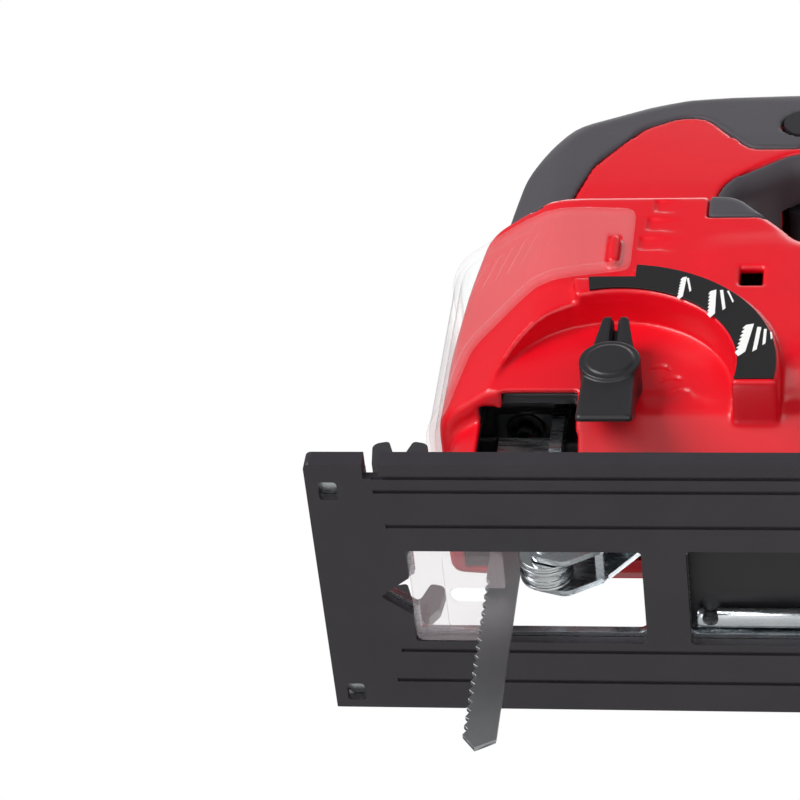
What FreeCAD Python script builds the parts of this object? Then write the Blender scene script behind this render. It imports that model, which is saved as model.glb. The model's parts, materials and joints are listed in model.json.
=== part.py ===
import FreeCAD, Part
import math
import os

# Corded jigsaw with a closed D-handle, millimetres.
# The tool's front is -X, its left side (with the orbit selector) is -Y, +Z is up.
# Shapes are drawn from the blade line (x = 0) and the underside of the glide shoe (z = 0),
# then every piece is shifted so that the origin lies under the bar between the sole's windows.
BLADE_FROM_ORIGIN = -40.0

# Driving dimensions: overall
SOLE_FRONT = -42.0
SOLE_REAR = 116.0
SOLE_LEFT = 37.0
SOLE_RIGHT = 36.0
MOTOR_REAR = 178.0
BARREL_TOP = 110.0
BARREL_TOP_FRONT = 98.0
HANDLE_TOP = 192.0
BODY_HALF = 36.0
LOWER_HALF = 28.0
HANDLE_HALF = 18.0
NOSE_HALF = 22.0
NOSE_FRONT = -20.0
HOUSING_WALL = 2.6
GRIP_SKIN = 1.8

# Clearances
RUN = 0.05
GAP = 0.4
SLIP = 0.2

# Sole, shoe and tilt
SHOE_FLOOR = 2.4
SHOE_WALL = 2.2
SHOE_HEIGHT = 4.8
SOLE_SHEET = 2.0
SOLE_FLANGE_TOP = 5.2
TILT_Z = 1.3
TILT_MAX = 45.0
TILT_SCREWS = (78.0, 100.0)
TILT_SCREW_R = 2.4
TILT_HEAD_R = 4.2
TILT_HEAD = 1.8
CLAMP_BLOCK = 3.0
SADDLE_R = 26.0
SADDLE_SHEET = 2.0
SADDLE_FRONT = 44.0
SADDLE_REAR = 110.0
SADDLE_FOOT = 5.0
SADDLE_RIVET_OUT = 3.0
SADDLE_RIVETS = (50.0, 104.0)
WINDOW_FRONT = -21.0
WINDOW_REAR = 34.4
WINDOW_HALF = 13.2
REAR_WINDOW_FRONT = 45.0
REAR_WINDOW_REAR = 96.0
REAR_WINDOW_HALF = 13.5
SHOE_WINDOW_EXTRA = 1.4
POCKET_FRONT = -34.0
POCKET_REAR = -17.5
POCKET_WIDTH = 9.6
POCKET_Y = 23.2
FENCE_SLOT = 5.2
FENCE_X = -25.5
FENCE_SCREW_R = 2.5
BRIDGE_WALL = 1.2

# Blade and plunger
BLADE_WIDTH = 8.0
BLADE_THICK = 1.2
BLADE_TIP = -52.3
BLADE_TOP = 46.0
TOOTH_PITCH = 3.0
TOOTH_DEPTH = 1.1
STROKE = 18.0
PLUNGER_R = 4.5
SWING_Z = 119.5
SWING_PIN_R = 2.5
PLUNGER_BOTTOM = 44.0
PLUNGER_TOP = 116.0
CLAMP_R = 8.0
CLAMP_BOTTOM = 33.0
CLAMP_TOP = 50.0
CLAMP_LEVER_TIP = 58.0
CLAMP_LEVER_TOP = 61.5
LEVER_ARM_R = 15.9
LEVER_ROOM = 0.7
LEVER_RISE = 2.0
ORBIT_SWING = 1.2

# Guide roller and its bracket
ROLLER_R = 6.5
ROLLER_GROOVE_R = 5.8
ROLLER_HALF = 3.6
ROLLER_X = 9.7
ROLLER_Z = 12.6
BRACKET_SHEET = 1.6
BRACKET_PIN_R = 2.5
BRACKET_PIN_HALF = 10.5
BRACKET_PIVOT_X = 29.0
BRACKET_PIVOT_Z = 31.0

# Orbit selector
SELECTOR_X = 25.3
SELECTOR_Z = 42.0
SELECTOR_HUB_R = 7.5
SELECTOR_POINTER = 19.0
SELECTOR_OUT = 40.0
SELECTOR_SHAFT_R = 4.0
SELECTOR_TAIL = 23.5
ARCH_R = 30.0
VISOR_R = 41.0
VISOR_OUT = 38.0
VISOR_LOW = 35.5

# Gear train and motor
MODULE = 1.0
PINION_TEETH = 9
GEAR_TEETH = 41
TOOTH_SHARE = 0.40
MOTOR_Z = 68.0
GEAR_FRONT = 16.0
GEAR_WIDTH = 8.0
GEAR_PIN_R = 4.0
CRANK_PIN_R = 3.0
CRANK_PIN_FRONT = 7.2
CRANK_ROLLER_R = 4.0
YOKE_HALF = 8.0
SHAFT_R = 4.0
STATOR_R = 31.0
CORE_R = 17.8
AIR_GAP = 0.5
STATOR_FRONT = 92.0
STATOR_LENGTH = 40.0
FAN_R = 26.0
BEARING_R = 11.0
BEARING_WIDTH = 7.0
BEARING_SEAT = 3.0
COMMUTATOR_R = 11.0
COMMUTATOR_LENGTH = 12.0
BRUSH = 6.0

# Handle opening and controls
OPENING_FRONT = 50.0
OPENING_REAR = 150.0
OPENING_TOP = 150.0
TRIGGER_FRONT = 62.0
TRIGGER_LENGTH = 34.0
TRIGGER_TRAVEL = 6.0
TRIGGER_HALF = 6.5
LOCK_X = 67.0
LOCK_Z = 169.0
LOCK_R = 5.5
LOCK_TRAVEL = 3.0
DIAL_R = 11.0
DIAL_HALF = 3.5
DIAL_X = 120.0
VENTS = 4
VENT_FRONT = 142.0
VENT_REAR = 168.0
VENT_PITCH = 10.0
VENT_LOW = 50.5
VENT_HIGH = 3.4
CORD_HOLE_R = 4.2
CORD_INLET_R = 9.0
SCREW_R = 2.0
SCREW_HEAD_R = 3.6
DUST_PORT_R = 12.5
DUST_WALL = 1.6

GEAR_Z = MOTOR_Z + MODULE * (PINION_TEETH + GEAR_TEETH) / 2 + RUN
SOLE_BOTTOM = SHOE_FLOOR + SLIP / 2
SOLE_TOP = SOLE_BOTTOM + SOLE_SHEET
SHOE_LEFT = SOLE_LEFT + SLIP + SHOE_WALL + 2.1


def vec(x, y, z):
    return FreeCAD.Vector(x, y, z)


AXIS_X = vec(1, 0, 0)
AXIS_Y = vec(0, 1, 0)
AXIS_Z = vec(0, 0, 1)


def box(x0, x1, y0, y1, z0, z1):
    return Part.makeBox(x1 - x0, y1 - y0, z1 - z0, vec(x0, y0, z0))


def rod(r, start, axis, length):
    return Part.makeCylinder(r, length, start, axis)


def tube(r_out, r_in, start, axis, length):
    return rod(r_out, start, axis, length).cut(rod(r_in, start, axis, length))


def rounded_wire(corners):
    """Closed wire through corners (point, radius), each rounded by a tangent arc."""
    edges = []
    count = len(corners)
    joins = []
    for i, (p, r) in enumerate(corners):
        before = corners[i - 1][0].sub(p)
        after = corners[(i + 1) % count][0].sub(p)
        if r == 0:
            joins.append((p, None, p))
            continue
        half = before.getAngle(after) / 2
        reach = min(r / math.tan(half), 0.45 * min(before.Length, after.Length))
        r = reach * math.tan(half)
        a = p.add(before.normalize().multiply(reach))
        b = p.add(after.normalize().multiply(reach))
        inward = before.add(after).normalize()
        middle = p.add(inward.multiply(r / math.sin(half) - r))
        joins.append((a, middle, b))
    for i, (a, middle, b) in enumerate(joins):
        if middle is not None:
            edges.append(Part.Arc(a, middle, b).toShape())
        start = joins[(i + 1) % count][0]
        if b.distanceToPoint(start) > 1e-6:
            edges.append(Part.makeLine(b, start))
    return Part.Wire(edges)


def slab_xz(points, y0, y1):
    """Prism along Y from corners (x, z, radius)."""
    wire = rounded_wire([(vec(x, y0, z), r) for x, z, r in points])
    return Part.Face(wire).extrude(vec(0, y1 - y0, 0))


def slab_xy(points, z0, z1):
    """Prism along Z from corners (x, y, radius)."""
    wire = rounded_wire([(vec(x, y, z0), r) for x, y, r in points])
    return Part.Face(wire).extrude(vec(0, 0, z1 - z0))


def slab_yz(points, x0, x1):
    """Prism along X from corners (y, z, radius)."""
    wire = rounded_wire([(vec(x0, y, z), r) for y, z, r in points])
    return Part.Face(wire).extrude(vec(x1 - x0, 0, 0))


def fuse(first, *others):
    shape = first.fuse(list(others)) if others else first
    return shape.removeSplitter()


def export(name, shape):
    moved = shape.copy()
    moved.translate(vec(BLADE_FROM_ORIGIN, 0, 0))
    moved.exportStep(f"parts/{name}.step")


def export_group(name, solids):
    export(name, Part.makeCompound(solids))


# Housing form. inset draws the same form smaller on every side, for the hollow inside.
def nose_plan(half, inset, z0, z1, front):
    """Plan outline with a rounded nose, extruded between two heights."""
    h = half - inset
    nose = front + inset
    round_r = h * 0.62
    rear = MOTOR_REAR
    corners = [(nose, -h * 0.5, round_r * 0.6), (nose + h * 0.72, -h, round_r), (rear, -h, 0)]
    mirror = [(rear, h, 0), (nose + h * 0.72, h, round_r), (nose, h * 0.5, round_r * 0.6)]
    return slab_xy(corners + mirror, z0, z1)


def v_section(half, inset, bottom, top):
    """Cross-section with 45 degree flanks low down, so that the sole can tilt under it."""
    h = half - inset
    lift = 9.5 + TILT_Z + inset * 1.414
    foot = 12.0
    low = max(bottom + inset, foot + lift)
    y_low = low - lift
    y_low = min(y_low, h - 1)
    right = [(y_low, low, 0), (h, h + lift, 0), (h, top, 0)]
    left = [(-h, top, 0), (-h, h + lift, 0), (-y_low, low, 0)]
    return right + left


def lower_body(inset):
    front = NOSE_FRONT + 4.0 + inset
    section = v_section(LOWER_HALF, inset, 20.0, 78.0 - inset)
    body = slab_yz(section, front, SADDLE_REAR - inset)
    return body.common(nose_plan(LOWER_HALF, inset, 0, 100, NOSE_FRONT + 4.0))


def head(inset):
    outline = [
        (NOSE_FRONT + inset, 46 + inset, 5),
        (NOSE_FRONT + 0.6 + inset, 72, 40),
        (-16.5 + inset, 95, 30),
        (-12.5 + inset, 116 - inset, 6),
        (52, 116 - inset, 8),
        (66, 100, 8),
        (66, 46 + inset, 4),
    ]
    body = slab_xz(outline, -BODY_HALF, BODY_HALF)
    section = v_section(BODY_HALF, inset, 20.0, 130)
    body = body.common(slab_yz(section, NOSE_FRONT, MOTOR_REAR))
    return body.common(nose_plan(BODY_HALF, inset, 0, 130, NOSE_FRONT))


def barrel(inset):
    h = BODY_HALF - inset
    low = 37.0 + inset
    high = BARREL_TOP - inset
    section = [(-h, low, 21 - inset), (h, low, 21 - inset), (h, high, 17 - inset), (-h, high, 17 - inset)]
    body = slab_yz(section, 46 + inset, MOTOR_REAR - inset)
    rise = [(46, 30, 0), (MOTOR_REAR, 30, 0)]
    rise += [(MOTOR_REAR, BARREL_TOP - inset, 0), (46, BARREL_TOP_FRONT - inset, 0)]
    return body.common(slab_xz(rise, -BODY_HALF, BODY_HALF))


def handle(inset):
    """The D-handle: front column, top bar and rear column as one ring."""
    i = inset
    outline = [
        (-12.7 + i, 112, 0),
        (-11.4 + i, 130, 20),
        (-7.5 + i, 152, 20),
        (3.5 + i, 173 - i, 16),
        (34, HANDLE_TOP - 3 - i, 60),
        (70, HANDLE_TOP - i, 80),
        (MOTOR_REAR - 38, HANDLE_TOP - 4 - i, 40),
        (MOTOR_REAR - 4 - i, HANDLE_TOP - 18 - i, 14),
        (MOTOR_REAR - i, 92, 0),
        (OPENING_REAR + i, 92, 0),
        (OPENING_REAR - 1 + i, OPENING_TOP - 4 + i, 14),
        (104, OPENING_TOP + 4 + i, 30),
        (66, OPENING_TOP + i, 10),
        (OPENING_FRONT - i, 138, 12),
        (OPENING_FRONT - i, 92, 0),
        (-12.7 + i, 92, 0),
    ]
    ring = slab_xz(outline, -NOSE_HALF, NOSE_HALF)
    plan = nose_plan(NOSE_HALF, i, 90, HANDLE_TOP + 5, -12.7)
    taper = [(-NOSE_HALF + i, 90, 0), (NOSE_HALF - i, 90, 0), (NOSE_HALF - i, 140, 0)]
    taper += [(HANDLE_HALF - i, HANDLE_TOP - i, 11 - i), (-HANDLE_HALF + i, HANDLE_TOP - i, 11 - i)]
    taper += [(-NOSE_HALF + i, 140, 0)]
    return ring.common(plan).common(slab_yz(taper, -30, MOTOR_REAR))


def whole_body(inset):
    body = fuse(lower_body(inset), head(inset), barrel(inset), handle(inset))
    arch_out = LOWER_HALF - inset
    length = BODY_HALF
    arch = rod(ARCH_R + inset, vec(SELECTOR_X, -arch_out - length, SELECTOR_Z), AXIS_Y, length)
    saddle = rod(SADDLE_R + 0.3 + inset, vec(38 - inset, 0, TILT_Z), AXIS_X, MOTOR_REAR)
    return body.cut(arch).cut(saddle)


def blade_pocket(grow):
    """The opening under the nose that the blade, its clamp and the roller work in."""
    outline = [(-7 - grow, 10, 0), (-7 - grow, 38, 2), (-2 - grow, 45 + grow, 2)]
    outline += [(16.5 + grow, 45 + grow, 2), (16.5 + grow, 10, 0)]
    side = slab_xz(outline, -LOWER_HALF - 2, 0)
    clamp_bay = box(-12 - grow, 12 + grow, -11 - grow, 11 + grow, 10, 60.5 + grow)
    roller_bay = box(11, 35 + grow, -8 - grow, 8 + grow, 10, 41 + grow)
    lever_bay = box(-8 - grow, 17 + grow, -23 - grow, -10.5 + grow, 10, 60 + grow)
    lever_top = CLAMP_LEVER_TOP + STROKE / 2 + LEVER_ROOM
    tip_bay = box(-5 - grow, 13.1 + grow, -23 - grow, -11.2 + grow, 50, lever_top + grow)
    lever_low = CLAMP_BOTTOM + LEVER_RISE - STROKE / 2
    orbit_reach = (SWING_Z - lever_low) * math.tan(math.radians(ORBIT_SWING))
    swing_r = LEVER_ARM_R + LEVER_ROOM + grow
    swing_bay = fuse(rod(swing_r, vec(0, 0, 10), AXIS_Z, 42 + grow),
                     rod(swing_r, vec(-orbit_reach, 0, 10), AXIS_Z, 42 + grow))
    swing_bay = swing_bay.common(box(-20, 0, -23, -10.5 + grow, 10, 60))
    return fuse(side, clamp_bay, roller_bay, lever_bay, tip_bay, swing_bay)


def visor():
    """Raised arch round the selector that carries the printed band."""
    centre = vec(SELECTOR_X, -VISOR_OUT, SELECTOR_Z)
    ring = tube(VISOR_R, ARCH_R, centre, AXIS_Y, VISOR_OUT - LOWER_HALF + 1)
    sector = [(SELECTOR_X - 6, SELECTOR_Z, 0), (SELECTOR_X - 12, 77.5, 0), (28.5, 77.5, 0), (28.5, 95, 0)]
    sector += [(90, 95, 0), (90, VISOR_LOW, 0), (SELECTOR_X + 20, VISOR_LOW, 0)]
    return ring.common(slab_xz(sector, -VISOR_OUT, 0))


BOSSES = [(40, 176), (102, 178), (140, 180), (162, 140), (168, 98), (56, 106), (78, 44), (48, 50), (2, 134)]
CABLE_Z = HANDLE_TOP - 32


def make_housing():
    outer = fuse(whole_body(0), visor())
    inner = whole_body(HOUSING_WALL)
    inner = inner.common(box(NOSE_FRONT, MOTOR_REAR, -BODY_HALF, BODY_HALF, 0, HANDLE_TOP))
    shell = outer.cut(inner)
    walls = blade_pocket(HOUSING_WALL).common(outer)
    shell = fuse(shell, walls).cut(blade_pocket(0))
    shell = shell.cut(box(-7, 7, -7, 7, 50, 66))
    pivot = vec(BRACKET_PIVOT_X, -BRACKET_PIN_HALF, BRACKET_PIVOT_Z)
    shell = shell.cut(rod(BRACKET_PIN_R, pivot, AXIS_Y, 2 * BRACKET_PIN_HALF))
    shell = shell.cut(rod(SELECTOR_SHAFT_R + RUN, vec(SELECTOR_X, -VISOR_OUT, SELECTOR_Z), AXIS_Y, 25))
    trigger_rear = TRIGGER_FRONT + TRIGGER_LENGTH
    trigger_out = TRIGGER_HALF + GAP
    shell = shell.cut(box(TRIGGER_FRONT - GAP, trigger_rear + GAP, -trigger_out, trigger_out, 140, 162))
    shell = shell.cut(rod(LOCK_R + 0.3, vec(LOCK_X, -NOSE_HALF, LOCK_Z), AXIS_Y, NOSE_HALF - 8))
    dial_reach = DIAL_R + GAP
    dial_out = DIAL_HALF + GAP
    shell = shell.cut(box(DIAL_X - dial_reach, DIAL_X + dial_reach, -dial_out, dial_out,
                          HANDLE_TOP - 8, HANDLE_TOP + 2))
    shell = shell.cut(rod(CORD_INLET_R + GAP, vec(MOTOR_REAR - 16, 0, CABLE_Z), AXIS_X, 40))
    for i in range(VENTS):
        z = VENT_LOW + i * VENT_PITCH
        shell = shell.cut(box(VENT_FRONT, VENT_REAR, -BODY_HALF - 1, BODY_HALF + 1, z, z + VENT_HIGH))
    for x in TILT_SCREWS:
        shell = shell.cut(rod(TILT_SCREW_R, vec(x, 0, 10), AXIS_Z, 28))
    shell = shell.cut(grip_block())
    for side in (-1, 1):
        keep = box(-60, 220, -60, 0, 0, 220) if side < 0 else box(-60, 220, 0, 60, 0, 220)
        half = shell.common(keep)
        bosses = [rod(SCREW_R + 2.2, vec(x, 0, z), vec(0, side, 0), 14) for x, z in BOSSES]
        reach = whole_body(0.6).common(keep)
        half = fuse(half, *[b.common(reach) for b in bosses])
        for x, z in BOSSES:
            half = half.cut(rod(SCREW_R, vec(x, -12, z), AXIS_Y, 24))
        solids = sorted(half.Solids, key=lambda s: -s.Volume)
        export("left_housing" if side < 0 else "right_housing", solids[0])


def grip_block():
    """The soft overmould: a skin over the nose, the top of the handle and the inside of the opening."""
    zone = [(-16, 124, 0), (2, 113, 0), (12, 150, 20), (24, 168, 10), (38, 176, 8), (53, 157, 6)]
    zone += [(66, 157, 3), (73, 165, 3), (100, 168, 0), (150, 166, 0)]
    zone += [(150, HANDLE_TOP + 8, 0), (-16, HANDLE_TOP + 8, 0)]
    skin = handle(0).cut(handle(GRIP_SKIN))
    gripped = skin.common(slab_xz(zone, -30, 30))
    return max(gripped.Solids, key=lambda s: s.Volume)


def make_soft_grips():
    skin = grip_block()
    dial_reach = DIAL_R + 2
    dial_out = DIAL_HALF + 2
    dial = box(DIAL_X - dial_reach, DIAL_X + dial_reach, -dial_out, dial_out, HANDLE_TOP - 9, HANDLE_TOP + 2)
    lock = rod(LOCK_R + 1.5, vec(LOCK_X, -NOSE_HALF, LOCK_Z), AXIS_Y, NOSE_HALF - 6)
    skin = skin.cut(dial).cut(lock)
    for side, name in ((-1, "left_soft_grip"), (1, "right_soft_grip")):
        keep = box(-60, 220, -60, 0, 0, 220) if side < 0 else box(-60, 220, 0, 60, 0, 220)
        export(name, max(skin.common(keep).Solids, key=lambda s: s.Volume))


def make_guard():
    """Clear chip guard: a thin shell round the nose with a lower skirt in front."""
    sheet = 2.0
    stand_off = 0.5
    outer = nose_plan(BODY_HALF + stand_off + sheet, 0, 40, 112, NOSE_FRONT - stand_off - sheet)
    inner = nose_plan(BODY_HALF + stand_off, 0, 40, 112, NOSE_FRONT - stand_off)
    outline = [(-30, 44, 0), (-17, 44, 4), (-12, 66, 8), (4, 78, 12), (27, 82, 3), (27, 106, 3)]
    outline += [(-6, 108, 12), (-30, 108, 0)]
    shell = outer.cut(inner).common(slab_xz(outline, -50, 50))
    slot = [(20.5, 83.5, 1.2), (24.5, 83.5, 1.2), (24.5, 96.5, 1.2), (20.5, 96.5, 1.2)]
    for side in (-1, 1):
        y0 = side * (BODY_HALF + 1) - 6
        shell = shell.cut(slab_xz(slot, y0, y0 + 12))
    export("chip_guard", shell)


def make_band():
    face = 0.5
    start = vec(SELECTOR_X, -VISOR_OUT - face, SELECTOR_Z)
    ring = tube(VISOR_R - 1.0, ARCH_R + 0.6, start, AXIS_Y, face)
    sector = [(SELECTOR_X - 4, SELECTOR_Z, 0), (SELECTOR_X - 8, 77, 0), (29, 77, 0), (29, 95, 0)]
    sector += [(90, 95, 0), (90, VISOR_LOW + 1, 0), (SELECTOR_X + 20, VISOR_LOW + 1, 0)]
    export("scale_band", ring.common(slab_xz(sector, -VISOR_OUT - face, 0)))


def make_selector():
    """Orbit selector: hub, tapered pointer, tail block; and its shaft with the orbit cam."""
    hub_in = LOWER_HALF + 2.0
    tail_low = SELECTOR_Z - SELECTOR_TAIL
    y_face = -SELECTOR_OUT
    hub = rod(SELECTOR_HUB_R, vec(SELECTOR_X, y_face + 1.5, SELECTOR_Z), AXIS_Y, SELECTOR_OUT - 1.5 - hub_in)
    cap = rod(5.7, vec(SELECTOR_X, y_face, SELECTOR_Z), AXIS_Y, 2)
    top = SELECTOR_Z + SELECTOR_POINTER
    pointer = slab_xz([(SELECTOR_X - 6.5, SELECTOR_Z, 0), (SELECTOR_X - 3.2, top, 1.2),
                       (SELECTOR_X + 3.2, top, 1.2), (SELECTOR_X + 6.5, SELECTOR_Z, 0)],
                      y_face + 2.5, -hub_in)
    groove = slab_xz([(SELECTOR_X - 0.9, SELECTOR_Z + 8, 0.4), (SELECTOR_X - 0.6, top - 2.5, 0.4),
                      (SELECTOR_X + 0.6, top - 2.5, 0.4), (SELECTOR_X + 0.9, SELECTOR_Z + 8, 0.4)],
                     y_face, y_face + 5)
    tail = slab_yz([(y_face + 1.5, tail_low, 1), (-hub_in, tail_low + 12, 0), (-hub_in, SELECTOR_Z, 0),
                    (y_face + 1.5, SELECTOR_Z, 0)], SELECTOR_X - 7, SELECTOR_X + 7)
    sweep_r = math.hypot(SHOE_LEFT, SHOE_HEIGHT - TILT_Z) + 0.6
    shoe_sweep = rod(sweep_r, vec(SELECTOR_X - 20, 0, TILT_Z), AXIS_X, 40)
    lever = fuse(hub, cap, pointer, tail).cut(groove).cut(shoe_sweep)
    lever = lever.cut(rod(SELECTOR_SHAFT_R, vec(SELECTOR_X, -hub_in - 5, SELECTOR_Z), AXIS_Y, 6))
    export("selector_lever", lever)
    shaft = rod(SELECTOR_SHAFT_R, vec(SELECTOR_X, -hub_in - 5, SELECTOR_Z), AXIS_Y, 18)
    cam = rod(4.6, vec(SELECTOR_X + 0.5, -hub_in + 9, SELECTOR_Z), AXIS_Y, 4)
    export("selector_cam", fuse(shaft, cam))


def gear_shape(teeth, width, x0, z0, bore_r, phase):
    """Straight-cut gear along X. The teeth are narrowed by TOOTH_SHARE for running clearance."""
    pitch_r = MODULE * teeth / 2
    root_r = pitch_r - 1.15 * MODULE
    tip_r = pitch_r + 0.85 * MODULE
    step = 2 * math.pi / teeth
    body = rod(root_r, vec(x0, 0, z0), AXIS_X, width)
    tooth_list = []
    for i in range(teeth):
        mid = phase + i * step
        corners = []
        for r, share in ((root_r - 0.3, 0.62), (pitch_r, TOOTH_SHARE), (tip_r, 0.22)):
            corners.append((r, mid - step * share / 2))
        for r, share in ((tip_r, 0.22), (pitch_r, TOOTH_SHARE), (root_r - 0.3, 0.62)):
            corners.append((r, mid + step * share / 2))
        points = [vec(x0, r * math.cos(a), z0 + r * math.sin(a)) for r, a in corners]
        tooth_list.append(Part.Face(Part.makePolygon(points + points[:1])).extrude(vec(width, 0, 0)))
    gear = fuse(body, *tooth_list)
    if bore_r > 0:
        gear = gear.cut(rod(bore_r, vec(x0 - 1, 0, z0), AXIS_X, width + 2))
    return gear


def make_drive():
    """Gear case, gears, crank and the two motor bearings."""
    gear_rear = GEAR_FRONT + GEAR_WIDTH
    crank_r = STROKE / 2
    gear = gear_shape(GEAR_TEETH, GEAR_WIDTH, GEAR_FRONT, GEAR_Z, GEAR_PIN_R + RUN, -math.pi / 2)
    gear = gear.cut(rod(CRANK_PIN_R, vec(GEAR_FRONT - 1, crank_r, GEAR_Z), AXIS_X, GEAR_WIDTH + 2))
    for i in range(1, 6):
        a = i * math.pi / 3
        hole = vec(GEAR_FRONT - 1, 13.5 * math.cos(a), GEAR_Z + 13.5 * math.sin(a))
        gear = gear.cut(rod(2.6, hole, AXIS_X, GEAR_WIDTH + 2))
    export("drive_gear", gear)
    pin = rod(CRANK_PIN_R, vec(CRANK_PIN_FRONT, crank_r, GEAR_Z), AXIS_X, gear_rear - CRANK_PIN_FRONT)
    export("crank_pin", pin)
    roller_start = vec(CRANK_PIN_FRONT + 0.8, crank_r, GEAR_Z)
    roller = tube(CRANK_ROLLER_R, CRANK_PIN_R, roller_start, AXIS_X, GEAR_FRONT - CRANK_PIN_FRONT - 1.4)
    export("crank_roller", roller)
    case_front = gear_rear + GAP
    case_rear = case_front + 8
    w = LOWER_HALF - HOUSING_WALL - 1
    plate_top = GEAR_Z + 17
    plate = slab_yz([(-w, 47, 6), (w, 47, 6), (w, plate_top, 12), (-w, plate_top, 12)],
                    case_front, case_rear)
    arms = [box(-3.5, case_rear, y - 1.2, y + 1.2, SWING_Z - 3.5, SWING_Z + 3.5) for y in (-10.5, 10.5)]
    arms = [arm.cut(rod(SWING_PIN_R, vec(0, -20, SWING_Z), AXIS_Y, 40)) for arm in arms]
    arms.append(box(case_front, case_rear, -11.7, 11.7, GEAR_Z + 10, SWING_Z + 3.5))
    plate = plate.cut(rod(SHAFT_R + 2, vec(case_front - 1, 0, MOTOR_Z), AXIS_X, 10))
    plate = plate.cut(rod(GEAR_PIN_R, vec(case_front - 1, 0, GEAR_Z), AXIS_X, 10))
    bearing_x = case_rear
    seat_r = BEARING_R + BEARING_SEAT
    seat = tube(seat_r, BEARING_R, vec(bearing_x, 0, MOTOR_Z), AXIS_X, BEARING_WIDTH)
    pillars = [rod(3.5, vec(x, y, z), AXIS_X, case_front - x)
               for x, y, z in ((GEAR_FRONT - 2, -20, GEAR_Z + 16), (GEAR_FRONT - 2, 20, GEAR_Z + 16),
                               (GEAR_FRONT + 4, -20.5, 56), (GEAR_FRONT + 4, 20.5, 56))]
    export("gear_case", fuse(plate, seat, *pillars, *arms))
    axle_front = GEAR_FRONT - 0.4
    export("gear_axle", rod(GEAR_PIN_R, vec(axle_front, 0, GEAR_Z), AXIS_X, case_rear - axle_front))
    rear_x = MOTOR_REAR - 18
    for name, x in (("front_bearing", bearing_x), ("rear_bearing", rear_x)):
        outer_race = tube(BEARING_R, BEARING_R - 2.4, vec(x, 0, MOTOR_Z), AXIS_X, BEARING_WIDTH)
        inner_race = tube(SHAFT_R + 2.4, SHAFT_R + RUN, vec(x, 0, MOTOR_Z), AXIS_X, BEARING_WIDTH)
        web = tube(BEARING_R - 2.4, SHAFT_R + 2.4, vec(x + 1, 0, MOTOR_Z), AXIS_X, BEARING_WIDTH - 2)
        export(name, fuse(outer_race, web, inner_race))
    cup = tube(seat_r, BEARING_R, vec(rear_x, 0, MOTOR_Z), AXIS_X, BEARING_WIDTH)
    spoke_in = seat_r - 0.5
    spoke_out = BODY_HALF - HOUSING_WALL - 1
    spokes = [box(rear_x, rear_x + 4, -spoke_out, -spoke_in, MOTOR_Z - 4, MOTOR_Z + 4),
              box(rear_x, rear_x + 4, spoke_in, spoke_out, MOTOR_Z - 4, MOTOR_Z + 4)]
    export("rear_bearing_plate", fuse(cup, *spokes))
    return bearing_x, rear_x


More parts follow.
